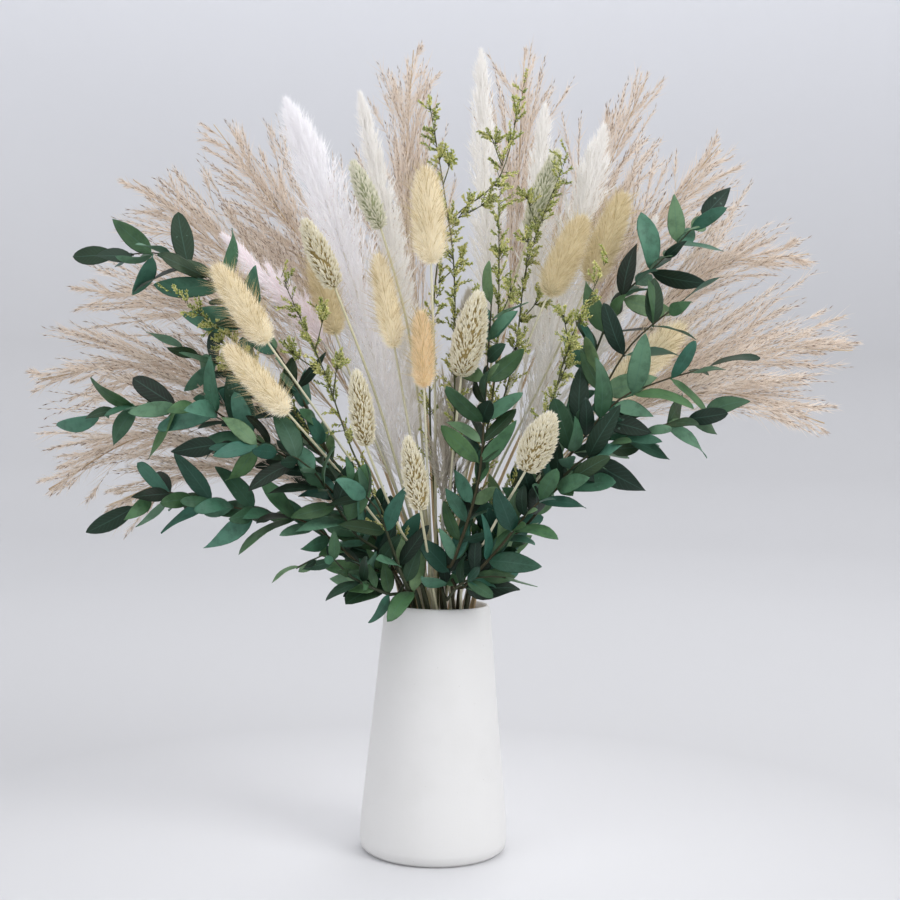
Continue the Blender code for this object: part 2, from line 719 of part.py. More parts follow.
def build_reed_plume(stem, room, branch, collection, growths):
    trunk = tube(stem.name, stem.points, stem.radii, collection)
    found = stations(stem, plume_reach(stem), BRANCH_SPACING)[1:]
    sizes = [min(BRANCH_LENGTH, TIP_BRANCH + to_tip) for _, _, to_tip in found]
    spikes = spikes_on(stem, room, found, sizes, BRANCH_LEAN, BRANCH_WIDTH, BRANCH_SINK)
    for number, (root, tip) in enumerate(spikes):
        placed(f"{stem.name}_branch_{number}", branch, root, tip, BRANCH_WIDTH, growths)
    return trunk


def build_limonium(stem, room, bud, collection, growths):
    """A branching stem with bud clusters along it and along its twigs."""
    trunk = tube(stem.name, stem.points, stem.radii, collection)
    found = stations(stem, plume_reach(stem), BUD_SPACING)
    twig_found = found[FIRST_TWIG::max(1, (len(found) - FIRST_TWIG) // TWIGS)][:TWIGS]
    twigs = spikes_on(stem, room, twig_found, [stem.size] * TWIGS, TWIG_LEAN, TWIG_ROOM, 0.0)
    ways = []
    for number, (root, tip) in enumerate(twigs):
        tube(f"{stem.name}_twig_{number}", np.array([root, tip]), TWIG_RADII, growths)
        way = unit(tip - root)
        ways += [(tip - way * back, way, 0) for back in TWIG_BUDS]
    lengths = [BUD_LENGTH] * (len(found) + len(ways))
    buds = spikes_on(stem, room, found + ways, lengths, BUD_LEAN, BUD_ROOM, BUD_SINK)
    for number, (root, tip) in enumerate(buds):
        placed(f"{stem.name}_bud_{number}", bud, root, tip, BUD_WIDTH, growths)
    return trunk


def build_eucalyptus(stem, leaves, collection, growths):
    trunk = tube(stem.name, stem.points, stem.radii, collection)
    for number, leaf in enumerate(leaves):
        leaf_object(f"{stem.name}_leaf_{number}", leaf, growths)
    return trunk


def build_plants(stems, room, leaves, collection):
    shapes = {
        "bunny_tail": head_mesh("bunny_tail", collection),
        "canary_grass": head_mesh("canary_grass", collection),
        "white_plume": turned_mesh("lock", ((0, 1), (1, 0.42), (0, 0)), 3, collection),
        "limonium_spray": turned_mesh("bud", ((0, 1), (1, 0.55), (0, 0)), 3, collection),
        "reed_plume": turned_mesh("branch", ((0, 1), (1, 0.22), (0, 0)), 3, collection),
    }
    makers = {
        "bunny_tail": lambda stem, *where: build_head(stem, shapes[stem.kind], *where),
        "canary_grass": lambda stem, *where: build_head(stem, shapes[stem.kind], *where),
        "white_plume": lambda stem, *where: build_white_plume(stem, room, shapes[stem.kind], *where),
        "reed_plume": lambda stem, *where: build_reed_plume(stem, room, shapes[stem.kind], *where),
        "limonium_spray": lambda stem, *where: build_limonium(stem, room, shapes[stem.kind], *where),
        "eucalyptus": lambda stem, *where: build_eucalyptus(stem, leaves[stem.name], *where),
    }
    for stem in stems:
        growths = bpy.data.collections.new(stem.name + "_growths")
        bpy.context.scene.collection.children.link(growths)
        trunk = makers[stem.kind](stem, collection, growths)
        fuse(trunk, growths)
        trunk.data.name = stem.name
        dressed(trunk, stem.kind)


def main():
    for obj in list(bpy.data.objects):
        bpy.data.objects.remove(obj)
    parts = bpy.data.collections.new("vase_of_dried_flowers")
    bpy.context.scene.collection.children.link(parts)
    build_vase(parts)
    rng = np.random.default_rng(SEED)
    stems = eased(planned_stems())
    room = Room(stems)
    leaves = {stem.name: leaves_on(stem, room, rng) for stem in stems if stem.kind == "eucalyptus"}
    build_plants(stems, room, leaves, parts)
    stand = linked("arrangement", None, parts)
    for obj in parts.objects:
        obj.parent = stand if obj != stand else None


main()
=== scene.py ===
"""The looks of a white ceramic vase of dried flowers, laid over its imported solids.

The stems stand where the solids stand, because this script works out the same plan, in millimetres: the
origin is the centre of the vase's foot, X points right, Y away from the viewer and Z up. Each solid is then
replaced by a finer piece of the same form.
"""

from __future__ import annotations

import logging
import math
from dataclasses import dataclass, field, replace
from enum import Enum
from typing import ClassVar

import bpy
import numpy as np
from bpy.types import Material, Node, NodeSocket, NodeTree
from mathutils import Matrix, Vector

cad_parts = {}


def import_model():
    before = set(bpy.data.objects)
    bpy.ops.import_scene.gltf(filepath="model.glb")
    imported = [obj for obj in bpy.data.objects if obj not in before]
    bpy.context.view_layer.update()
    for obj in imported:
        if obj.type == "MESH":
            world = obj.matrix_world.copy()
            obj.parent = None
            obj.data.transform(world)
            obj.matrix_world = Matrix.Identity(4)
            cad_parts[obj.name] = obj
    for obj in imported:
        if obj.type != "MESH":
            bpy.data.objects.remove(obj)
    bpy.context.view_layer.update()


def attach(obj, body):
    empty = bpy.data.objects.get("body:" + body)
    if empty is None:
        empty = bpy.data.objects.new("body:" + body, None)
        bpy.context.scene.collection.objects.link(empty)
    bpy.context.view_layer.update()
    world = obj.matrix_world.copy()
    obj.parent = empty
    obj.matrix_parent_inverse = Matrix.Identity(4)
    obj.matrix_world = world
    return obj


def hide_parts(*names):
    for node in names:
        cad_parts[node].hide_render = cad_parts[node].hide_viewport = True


LOG = logging.getLogger("dried_flowers")
MM = 0.001
TINY = 1e-12
NEAR_ZERO = 1e-9
SEED = 11
GOLDEN_ANGLE = math.radians(137.5)
UP = np.array((0.0, 0.0, 1.0))
DEPTH = np.array((0.0, 1.0, 0.0))
ACROSS = np.array((1.0, 0.0, 0.0))

Array = np.ndarray
Pair = tuple[float, float]
Triple = tuple[float, float, float]
Line = tuple[Pair, ...]
Station = tuple[Array, Array, float]
Spike = tuple[Array, Array]


class Kind(Enum):
    """The kinds of plant, each with the name of its material slot and the start of its nodes' names."""

    BUNNY = "bunny_tail"
    CANARY = "canary_grass"
    WHITE = "white_plume"
    REED = "reed_plume"
    LIMONIUM = "limonium_spray"
    EUCALYPTUS = "eucalyptus"


# The plan of the solids: the same values as in the part's source, in millimetres

VASE_HEIGHT = 168.0
VASE_RIM = 36.4
VASE_FLOOR = 6.0
MOUTH_HEIGHT = 174.0
MOUTH_RADIUS = 26.0
MOUTH_SPACING = 6.2
MOUTH_RISE = 15.0
MOUTH_SHIFT = 0.5
STEM_TWIST = math.radians(68)
FLOOR_SPREAD = 1.3
FLOOR_GAP = 0.35
ROUTE_STEP = 68.0
GAP = 0.9
LEAF_GAP = 0.4
EASING_ROUNDS = 240
MOUTH_PUSH = 0.35
ROUTE_PUSH = 0.45
ROUTE_NUDGE = 0.05
LONGEST_PUSH = 3.0
TOUCHING = 0.5
LEAST_DISTANCE = 1e-3
ROD_CHECKS = 9
ROUTE_CORNER_MOVES = (0.0, 1.0, 0.0)
ROUTE_BETWEEN_MOVES = (1.0, 1.0, 0.4)

STEM_RADIUS = {
    Kind.BUNNY: (0.9, 0.8),
    Kind.CANARY: (1.0, 0.9),
    Kind.WHITE: (1.6, 1.0),
    Kind.REED: (1.5, 0.5),
    Kind.LIMONIUM: (1.0, 0.5),
    Kind.EUCALYPTUS: (1.3, 0.8),
}

# Each stem: the radius of its head or plume, or the length of its leaves,
# then the places that it passes above the mouth, the last one its tip
STEMS = {
    Kind.BUNNY: (
        (12.5, (-8, -60, 395), (-13, -64, 459)),
        (11.0, (-111, -72, 341), (-146, -78, 391)),
        (10.0, (-96, -84, 296), (-137, -90, 339)),
        (9.5, (-31, -48, 341), (-44, -44, 405)),
        (9.0, (-11, -62, 315), (-14, -60, 367)),
        (10.5, (-71, -34, 350), (-88, -28, 406)),
        (12.0, (70, -30, 379), (95, -26, 435)),
        (12.0, (100, -8, 391), (125, -2, 456)),
        (13.0, (112, -30, 312), (163, -34, 363)),
    ),
    Kind.CANARY: (
        (9.5, (-70, -56, 378), (-91, -60, 422)),
        (8.5, (-43, -18, 423), (-64, -14, 470)),
        (12.0, (13, -56, 322), (24, -58, 378)),
        (8.8, (-46, -86, 276), (-53, -90, 324)),
        (8.5, (-11, -92, 237), (-20, -98, 283)),
        (12.0, (54, -86, 262), (70, -92, 299)),
        (9.5, (59, 4, 427), (78, 8, 485)),
    ),
    Kind.WHITE: (
        (21, (-31, -10, 272), (-63, 0, 391), (-110, 5, 510)),
        (12, (-21, 5, 307), (-39, 20, 427), (-61, 25, 521)),
        (14, (33, 35, 358), (28, 50, 473), (24, 60, 563)),
        (12, (63, 25, 359), (66, 35, 439), (70, 40, 519)),
        (17, (64, 0, 294), (87, 15, 399), (110, 20, 500)),
        (10, (-92, -40, 361), (-118, -45, 385), (-143, -45, 410)),
        (10, (108, 5, 349), (127, 10, 390), (146, 10, 435)),
        (12, (4, -30, 262), (13, -25, 323), (17, -20, 378)),
    ),
    Kind.REED: (
        (34, (-103, 35, 365), (-159, 50, 414), (-230, 60, 468)),
        (34, (-83, 50, 396), (-129, 70, 455), (-175, 80, 514)),
        (26, (-122, 15, 345), (-188, 20, 374), (-258, 20, 382)),
        (26, (-131, 0, 305), (-202, 0, 329), (-277, -5, 317)),
        (24, (-141, -15, 285), (-206, -15, 278), (-265, -15, 242)),
        (14, (-95, -30, 251), (-156, -30, 259), (-220, -30, 233)),
        (30, (92, 60, 409), (120, 75, 485), (149, 85, 555)),
        (34, (112, 40, 385), (156, 50, 445), (200, 55, 501)),
        (26, (138, 20, 360), (192, 20, 406), (257, 20, 417)),
        (26, (143, 0, 320), (213, 0, 346), (283, 0, 348)),
        (22, (134, -20, 305), (193, -20, 316), (259, -20, 297)),
        (26, (-23, 60, 412), (-30, 80, 497), (-27, 95, 577)),
        (28, (52, 70, 413), (55, 90, 503), (58, 105, 579)),
    ),
    Kind.LIMONIUM: (
        (24, (9, -45, 308), (7, -40, 393), (-10, -35, 497)),
        (26, (-7, -30, 352), (1, -25, 422), (36, -20, 458), (50, -15, 513)),
        (26, (48, -20, 333), (57, -12, 403), (80, -5, 469)),
        (28, (34, -35, 308), (37, -35, 373), (36, -30, 438)),
        (22, (69, -45, 294), (83, -45, 344), (102, -45, 389)),
        (22, (-107, -50, 310), (-132, -55, 340), (-163, -60, 364)),
        (26, (-56, -55, 271), (-77, -55, 326), (-103, -50, 380)),
    ),
    Kind.EUCALYPTUS: (
        (42, (-71, -40, 266), (-107, -50, 335), (-148, -50, 380), (-183, -45, 399), (-218, -40, 398)),
        (42, (-70, -50, 246), (-121, -65, 280), (-151, -70, 299), (-191, -65, 299), (-221, -60, 293)),
        (38, (-81, -35, 271), (-116, -45, 305), (-142, -45, 325), (-172, -40, 339)),
        (42, (-49, -45, 196), (-85, -60, 226), (-130, -70, 235), (-175, -70, 244), (-195, -70, 234)),
        (38, (-55, -60, 221), (-81, -80, 261), (-111, -85, 275), (-141, -85, 275)),
        (40, (69, -20, 264), (98, -25, 329), (117, -25, 375), (147, -20, 405), (176, -15, 436)),
        (40, (65, -45, 254), (99, -50, 304), (123, -55, 345), (157, -55, 375)),
        (40, (70, -60, 254), (109, -65, 304), (138, -65, 320), (173, -65, 331)),
        (42, (60, -50, 229), (84, -70, 264), (119, -75, 285), (169, -75, 301)),
        (36, (11, -50, 203), (25, -60, 253), (29, -50, 308), (32, -45, 373)),
        (36, (16, -45, 183), (40, -65, 213), (60, -75, 239), (85, -80, 259)),
        (26, (-29, -38, 177), (-54, -65, 191), (-70, -75, 206), (-89, -80, 198)),
        (34, (-19, -45, 182), (-30, -62, 212), (-40, -72, 237), (-66, -75, 261)),
        (28, (6, -34, 174), (16, -52, 188), (31, -60, 193), (44, -62, 193)),
    ),
}

TUFT_HEIGHT = {Kind.BUNNY: 0.10, Kind.CANARY: 0.17}
HEAD_INSET = 0.24
CORE_SHARE = 0.42
CORE_SWELL = 0.8
LOCK_LENGTH = 2.3
TIP_LOCK = 8.0
LOCK_WIDTH = 0.19
LOCK_LEAN = math.radians(24)
LOCK_SPACING = 13.5
LOCK_SINK = 1.0
BRANCH_LENGTH = 78.0
TIP_BRANCH = 14.0
BRANCH_WIDTH = 1.4
BRANCH_LEAN = math.radians(27)
BRANCH_SPACING = 13.5
BRANCH_SINK = 2.0
TWIG_LEAN = math.radians(38)
TWIG_ROOM = 2.0
FIRST_TWIG = 3
TWIGS = 3
TWIG_BUDS = (1.5, 7.0)
BUD_LENGTH = 11.0
BUD_ROOM = 1.85
BUD_LEAN = math.radians(36)
BUD_SPACING = 16.0
BUD_SINK = 0.3
LEAFY_LENGTH = 135.0
BARE_LENGTH = 12.0
LEAF_SPACING = 27.0
LEAF_BREADTH = 0.40
LEAF_ARCH = 0.06
LEAF_SINK = 0.5
TIP_LEAF_SINK = 3.0
LEAF_SIZES = (0.92, 1.08)
LEAF_LEAN = math.radians(46)
LEAF_LEANS = (0.75, 1.25)
TIP_LEAF_LEAN = math.radians(8)
LEAF_DROOP = 0.15
LEAF_FACING = UP * 0.5 - DEPTH
LEAF_SPREAD = math.radians(50)
TIP_LEAF_SPREAD = 4.0
LEAF_ROLL = math.radians(110)
YOUNG_LEAF = 0.8
YOUNG_LEAVES = 1.5
LEAF_ROD_OFFSETS = np.array((-0.28, 0.0, 0.28))
LEAF_ROD_REACH = np.array((0.30, 0.45, 0.30))
LEAF_ROD_RADIUS = 0.21
LEAF_TURNS = np.radians((0, 25, -25, 50, -50, 75, -75, 110, -110))
SPIKE_TURNS = np.radians((0, 30, -30, 60, -60, 100, 180))
SHORTENINGS = (1.0, 0.8, 0.62)
SPIKE_BARE = 3.0
SPIKE_SIDE = UP + DEPTH * 0.3


@dataclass(frozen=True)
class Stem:
    """A stem's route, the room that each of its legs takes, and how far each point may be moved."""

    kind: Kind
    number: int
    size: float
    points: Array
    room: Array
    inset: Array
    free: Array

    @property
    def name(self) -> str:
        """The name of the stem's node."""
        return f"{self.kind.value}_{self.number:02d}"


@dataclass(frozen=True)
class Leaf:
    """A leaf's root, its directions along and across the blade, and its length."""

    root: Array
    along: Array
    across: Array
    length: float


def unit(vectors: Array) -> Array:
    """The vectors, along the last axis, at length one."""
    return vectors / np.maximum(np.linalg.norm(vectors, axis=-1, keepdims=True), TINY)


def between(share: Array | float, span: Pair) -> Array | float:
    """The value at a share of the way from one end of a span to the other."""
    return span[0] + (span[1] - span[0]) * share


def cubic(start: Array, end: Array, out: Array, back: Array, t: Array | float) -> Array:
    """The cubic from start to end, with the slopes out and back there, at the shares t of the way."""
    return (
        start * (2 * t**3 - 3 * t**2 + 1) + out * (t**3 - 2 * t**2 + t)
        + end * (3 * t**2 - 2 * t**3) + back * (t**3 - t**2)
    )


def way_run(points: Array) -> Array:
    """The way run along a path up to each of its points."""
    return np.concatenate([[0], np.cumsum(np.linalg.norm(np.diff(points, axis=0), axis=1))])


def turned_about(vector: Array, axis: Array, angle: float) -> Array:
    """The vector turned about a unit axis: its parts along and across the axis, the second one rotated."""
    sine, cosine = math.sin(angle), math.cos(angle)
    return vector * cosine + np.cross(axis, vector) * sine + axis * (axis @ vector) * (1 - cosine)


def leaning(tangent: Array, side: Array, lean: float, turn: float) -> Array:
    """A direction that leaves the tangent by the lean, towards the side turned about the tangent."""
    out = unit(side - tangent * (side @ tangent))
    return unit(tangent * math.cos(lean) + turned_about(out, tangent, turn) * math.sin(lean))


def nearest_points(start_a: Array, end_a: Array, start_b: Array, end_b: Array) -> tuple[Array, Array, Array]:
    """Finds where rows of straight segments come nearest to each other.

    Args:
        start_a, end_a: ends of the first segments.
        start_b, end_b: ends of the second segments.

    Returns:
        The share along each first and each second segment, and the vector from the second to the first.
    """
    a, b, r = end_a - start_a, end_b - start_b, start_a - start_b
    aa, bb, ab = (a * a).sum(-1), (b * b).sum(-1), (a * b).sum(-1)
    ar, br = (a * r).sum(-1), (b * r).sum(-1)
    det = np.maximum(aa * bb - ab * ab, NEAR_ZERO)
    s = np.clip((ab * br - bb * ar) / det, 0, 1)
    t = np.clip((ab * s + br) / np.maximum(bb, NEAR_ZERO), 0, 1)
    s = np.clip((ab * t - ar) / np.maximum(aa, NEAR_ZERO), 0, 1)
    return s, t, r + a * s[..., None] - b * t[..., None]


def leaf_ways(tangent: Array, side: Array, lean: float, turn: float, roll: float) -> tuple[Array, Array]:
    """Directions along and across a leaf, which leaves its stem, droops and is rolled by a share."""
    along = unit(leaning(tangent, side, lean, turn) - UP * LEAF_DROOP)
    return along, turned_about(unit(np.cross(LEAF_FACING, along)), along, LEAF_ROLL * (roll - 0.5))


def rods(points: Array, inset: Array) -> tuple[Array, Array]:
    """The ends of each leg's rod, drawn in from the leg's own ends by the inset."""
    legs = np.diff(points, axis=0) * inset[:, None]
    return points[:-1] + legs, points[1:] - legs


class Room:
    """The room that stems and what grows on them already take, as rods with round ends."""

    def __init__(self, stems: list[Stem]) -> None:
        """Takes the room of every stem."""
        self.owners = np.empty(0, dtype="U32")
        self.starts, self.ends, self.radii = np.empty((0, 3)), np.empty((0, 3)), np.empty(0)
        for stem in stems:
            self.take(stem.name, *rods(stem.points, stem.inset), stem.room)

    def take(self, owner: str, starts: Array, ends: Array, radii: Array) -> None:
        """Adds the owner's rods to what is taken."""
        self.owners = np.append(self.owners, [owner] * len(starts))
        self.starts = np.vstack([self.starts, starts])
        self.ends = np.vstack([self.ends, ends])
        self.radii = np.append(self.radii, radii)

    def free(self, owner: str, starts: Array, ends: Array, radius: float, gap: float) -> bool:
        """Whether rods of this radius keep the gap to every other stem and to the vase.

        Args:
            owner: the stem that the rods grow on.
            starts, ends: the rods' ends.
            radius: the radius of each rod.
            gap: the least distance to anything else.

        Returns:
            True if all the rods are clear.
        """
        others = self.owners != owner
        for start, end in zip(starts, ends):
            _, _, apart = nearest_points(start, end, self.starts[others], self.ends[others])
            clear = np.linalg.norm(apart, axis=1) - self.radii[others] - radius
            if clear.min() < gap:
                return False
            along = start + (end - start) * np.linspace(0, 1, ROD_CHECKS)[:, None]
            from_wall = np.hypot(along[:, 0], along[:, 1]) - VASE_RIM
            above_lip = along[:, 2] - VASE_HEIGHT
            if (np.maximum(from_wall, above_lip) < radius + gap).any():
                return False
        return True

    def claim(self, owner: str, starts: Array, ends: Array, radius: float, gap: float) -> bool:
        """Takes rods of this radius for their owner if they keep the gap, and says whether they do."""
        free = self.free(owner, starts, ends, radius, gap)
        if free:
            self.take(owner, starts, ends, [radius] * len(starts))
        return free


@dataclass
class Plan:
    """Where every stem, leaf and spike of the solids lies, and where smaller leaves fill in between them.

    Smaller leaves crowd low in the middle, where the stems are densest.
    """

    stems: list[Stem] = field(default_factory=list)
    leaves: dict[str, list[Leaf]] = field(default_factory=dict)
    spikes: dict[str, list[Spike]] = field(default_factory=dict)
    twigs: dict[str, list[Spike]] = field(default_factory=dict)
    infill: dict[str, list[Leaf]] = field(default_factory=dict)
    room: Room = field(init=False)
    rng: np.random.Generator = field(init=False)
    infill_reach: float = 240.0
    infill_spacing: float = 13.5
    infill_lowest: float = 183.0
    infill_sizes: Pair = (0.5, 0.85)
    infill_leans: Pair = (0.7, 1.3)
    infill_room: float = 0.55
    crowded_height: float = 292.0
    crowded_breadth: float = 46.0
    crowded_sizes: Pair = (0.6, 1.0)
    crowded_room: float = 0.12
    crowded_front: float = -54.0
    bare_height: float = 245.0
    bare_edge: Pair = (53.0, 0.3)
    in_sight: tuple[Pair, Pair] = ((98.0, 166.0), (304.0, 368.0))

    def work_out(self) -> None:
        """Works out routes, then leaves, then spikes, in the order in which the solids take room."""
        self.stems = self._eased(self._planned())
        self.room = Room(self.stems)
        self.rng = np.random.default_rng(SEED)
        for stem in self.of_kind(Kind.EUCALYPTUS):
            self.leaves[stem.name] = self._leaves_on(stem)
        for stem in self.of_kind(Kind.WHITE):
            found = self.stations(stem, self.plume_reach(stem), LOCK_SPACING)
            sizes = [min(stem.size * LOCK_LENGTH, TIP_LOCK + to_tip) for _, _, to_tip in found]
            shape = LOCK_LEAN, stem.size * LOCK_WIDTH, LOCK_SINK
            self.spikes[stem.name] = self._spikes_on(stem, found, sizes, *shape)
        for stem in self.of_kind(Kind.REED):
            found = self.stations(stem, self.plume_reach(stem), BRANCH_SPACING)[1:]
            sizes = [min(BRANCH_LENGTH, TIP_BRANCH + to_tip) for _, _, to_tip in found]
            shape = BRANCH_LEAN, BRANCH_WIDTH, BRANCH_SINK
            self.spikes[stem.name] = self._spikes_on(stem, found, sizes, *shape)
        for stem in self.of_kind(Kind.LIMONIUM):
            self._grow_limonium(stem)
        for stem in self.of_kind(Kind.EUCALYPTUS):
            self.infill[stem.name] = self._smaller_leaves_on(stem)

    def of_kind(self, kind: Kind) -> list[Stem]:
        """The stems of one kind, in order."""
        return [stem for stem in self.stems if stem.kind is kind]

    def _grow_limonium(self, stem: Stem) -> None:
        """Places a spray's twigs, then its buds along the stem and along the twigs."""
        found = self.stations(stem, self.plume_reach(stem), BUD_SPACING)
        twig_found = found[FIRST_TWIG::max(1, (len(found) - FIRST_TWIG) // TWIGS)][:TWIGS]
        twigs = self._spikes_on(stem, twig_found, [stem.size] * TWIGS, TWIG_LEAN, TWIG_ROOM, 0.0)
        ways = []
        for root, tip in twigs:
            way = unit(tip - root)
            ways += [(tip - way * back, way, 0.0) for back in TWIG_BUDS]
        lengths = [BUD_LENGTH] * (len(found) + len(ways))
        self.twigs[stem.name] = twigs
        self.spikes[stem.name] = self._spikes_on(stem, found + ways, lengths, BUD_LEAN, BUD_ROOM, BUD_SINK)

    @staticmethod
    def _mouth_places(targets: Array) -> Array:
        """Where the stems cross the mouth: further out the more they lean, then pushed apart evenly."""
        lean = targets[:, :2] / (targets[:, 2:] - MOUTH_HEIGHT + MOUTH_RISE)
        places = MOUTH_RADIUS * lean / np.maximum(1, np.linalg.norm(lean, axis=1, keepdims=True))
        turns = np.arange(len(places)) * GOLDEN_ANGLE
        places = places + MOUTH_SHIFT * np.column_stack([np.cos(turns), np.sin(turns)])
        for _ in range(EASING_ROUNDS):
            apart = places[:, None] - places[None]
            distance = np.linalg.norm(apart, axis=2) + np.eye(len(places)) * MOUTH_RADIUS
            push = np.maximum(MOUTH_SPACING - distance, 0)[..., None] * apart / distance[..., None]
            places = places + MOUTH_PUSH * push.sum(axis=1)
            radius = np.linalg.norm(places, axis=1, keepdims=True)
            places = places * np.minimum(1, MOUTH_RADIUS / radius)
        return places

    @staticmethod
    def _floor_place(mouth: Array, radius: float) -> Array:
        """The foot of a stem: its place in the mouth, twisted round and spread, just above the floor."""
        cosine, sine = math.cos(STEM_TWIST), math.sin(STEM_TWIST)
        x, y = FLOOR_SPREAD * (mouth @ np.array(((cosine, sine), (-sine, cosine))))
        rise = MOUTH_HEIGHT - VASE_FLOOR
        lean = math.hypot(x - mouth[0], y - mouth[1]) / rise
        return np.array((x, y, VASE_FLOOR + FLOOR_GAP + radius * lean))

    @staticmethod
    def _smooth_route(corners: Array) -> tuple[Array, Array]:
        """Points on a smooth curve through the corners.

        Each leg is a cubic whose end slopes weigh the two chords that meet there by their lengths.
        The first leg, inside the vase, stays straight.

        Args:
            corners: the places that the route passes.

        Returns:
            The points, and whether each is a corner.
        """
        chords = np.diff(corners, axis=0)
        lengths = np.linalg.norm(chords, axis=1)
        slopes = chords / lengths[:, None]
        share = (lengths[:-1] / (lengths[:-1] + lengths[1:]))[:, None]
        tangents = np.vstack([slopes[:1], slopes[:-1] * (1 - share) + slopes[1:] * share, slopes[-1:]])
        points, given = [corners[0], corners[1]], [True, True]
        for leg in range(1, len(chords)):
            steps = max(1, round(lengths[leg] / ROUTE_STEP))
            out, back = tangents[leg:leg + 2] * lengths[leg]
            for step in range(1, steps + 1):
                points.append(cubic(corners[leg], corners[leg + 1], out, back, step / steps))
                given.append(step == steps)
        return np.array(points), np.array(given)

    @staticmethod
    def _room_of(kind: Kind, size: float, count: int, above: int) -> tuple[Array, Array]:
        """The room that each leg of a stem's solid takes, and how far its rod is drawn in.

        Args:
            kind: the plant.
            size: the radius of its head or plume.
            count: how many points the route has.
            above: the first point above the mouth.

        Returns:
            Room and inset of every leg.
        """
        stem, tip = STEM_RADIUS[kind]
        radii = np.full(count, stem)
        radii[above:] = np.linspace(stem, tip, count - above)
        if kind is Kind.WHITE:
            along = np.linspace(0, 1, count - above)
            radii[above:] = np.maximum(radii[above:], size * CORE_SHARE * np.sin(math.pi * along**CORE_SWELL))
        room = np.maximum(radii[:-1], radii[1:])
        inset = np.zeros(count - 1)
        if kind in TUFT_HEIGHT:
            room[-1] = size * (1 + TUFT_HEIGHT[kind])
            inset[-1] = HEAD_INSET
        return room, inset

    def _planned(self) -> list[Stem]:
        """Every stem with its route, before the routes make room for each other."""
        rows = [(kind, number, row) for kind, group in STEMS.items() for number, row in enumerate(group, 1)]
        targets = np.array([row[1] for _, _, row in rows], float)
        mouths = self._mouth_places(targets)
        stems = []
        for (kind, number, row), mouth in zip(rows, mouths):
            size, places = row[0], np.array(row[1:], float)
            foot = self._floor_place(mouth, STEM_RADIUS[kind][0])
            corners = np.vstack([foot, (*mouth, MOUTH_HEIGHT), places])
            points, given = self._smooth_route(corners)
            free = np.where(given[:, None], ROUTE_CORNER_MOVES, ROUTE_BETWEEN_MOVES)
            free[:2] = 0
            above = int(np.flatnonzero(given)[2])
            room, inset = self._room_of(kind, size, len(points), above)
            stems.append(Stem(kind, number, size, points, room, inset, free))
        return stems

    @staticmethod
    def _eased(stems: list[Stem]) -> list[Stem]:
        """The stems after each pair that comes too near has been pushed apart, over many small rounds."""
        points = np.vstack([stem.points for stem in stems])
        free = np.vstack([stem.free for stem in stems])
        room = np.concatenate([np.append(stem.room, 0) for stem in stems])
        inset = np.concatenate([np.append(stem.inset, 0) for stem in stems])
        owner = np.repeat(np.arange(len(stems)), [len(stem.points) for stem in stems])
        legs = np.flatnonzero(owner[:-1] == owner[1:])
        first, second = np.triu_indices(len(legs), 1)
        other = owner[legs[first]] != owner[legs[second]]
        first, second = legs[first[other]], legs[second[other]]
        need = room[first] + room[second] + GAP
        for _ in range(EASING_ROUNDS):
            starts, ends = rods(points, inset[:-1])
            s, t, apart = nearest_points(starts[first], ends[first], starts[second], ends[second])
            distance = np.linalg.norm(apart, axis=1)
            near = np.flatnonzero(distance < need)
            if not len(near):
                break
            away = apart[near] / np.maximum(distance[near], LEAST_DISTANCE)[:, None]
            away += DEPTH * (distance[near] < TOUCHING)[:, None]
            push = away * ((need - distance)[near] * ROUTE_PUSH + ROUTE_NUDGE)[:, None]
            move = np.zeros_like(points)
            s, t = s[near, None], t[near, None]
            np.add.at(move, first[near], push * (1 - s))
            np.add.at(move, first[near] + 1, push * s)
            np.add.at(move, second[near], -push * (1 - t))
            np.add.at(move, second[near] + 1, -push * t)
            points += np.clip(move, -LONGEST_PUSH, LONGEST_PUSH) * free
        ends = np.cumsum([len(stem.points) for stem in stems])
        return [replace(stem, points=points[end - len(stem.points):end]) for stem, end in zip(stems, ends)]

    @staticmethod
    def stations(stem: Stem, reach: float, spacing: float) -> list[Station]:
        """Points spaced evenly back from a stem's tip.

        Args:
            stem: the stem.
            reach: how far back from the tip they go.
            spacing: the way between two of them.

        Returns:
            The point, the stem's tangent there and the way to the tip, for each.
        """
        points = stem.points[1:]
        tangents, run = unit(np.diff(points, axis=0)), way_run(points)
        found = []
        for to_tip in np.arange(0, min(reach, run[-1] - BARE_LENGTH), spacing):
            mark = run[-1] - to_tip
            leg = min(int(np.searchsorted(run, mark, side="right")) - 1, len(tangents) - 1)
            found.append((points[leg] + tangents[leg] * (mark - run[leg]), tangents[leg], to_tip))
        return found

    @staticmethod
    def plume_reach(stem: Stem) -> float:
        """The length of a plume or a spray: from the first place above the mouth to the tip."""
        run = way_run(stem.points[1:])
        first_place = np.flatnonzero(stem.free[2:, 0] == 0)[0] + 1
        return run[-1] - run[first_place]

    @staticmethod
    def _leaf_rods(leaf: Leaf, share: float = 1.0) -> tuple[Array, Array, float]:
        """Three rods that cover a leaf: its midrib and a line half way to each edge. The share thins them."""
        breadth = leaf.length * LEAF_BREADTH
        offsets = LEAF_ROD_OFFSETS[:, None] * breadth * leaf.across
        middle = leaf.root + leaf.along * leaf.length * 0.5 + offsets
        reach = LEAF_ROD_REACH[:, None] * leaf.length * leaf.along
        return middle - reach, middle + reach, LEAF_ROD_RADIUS * breadth * share

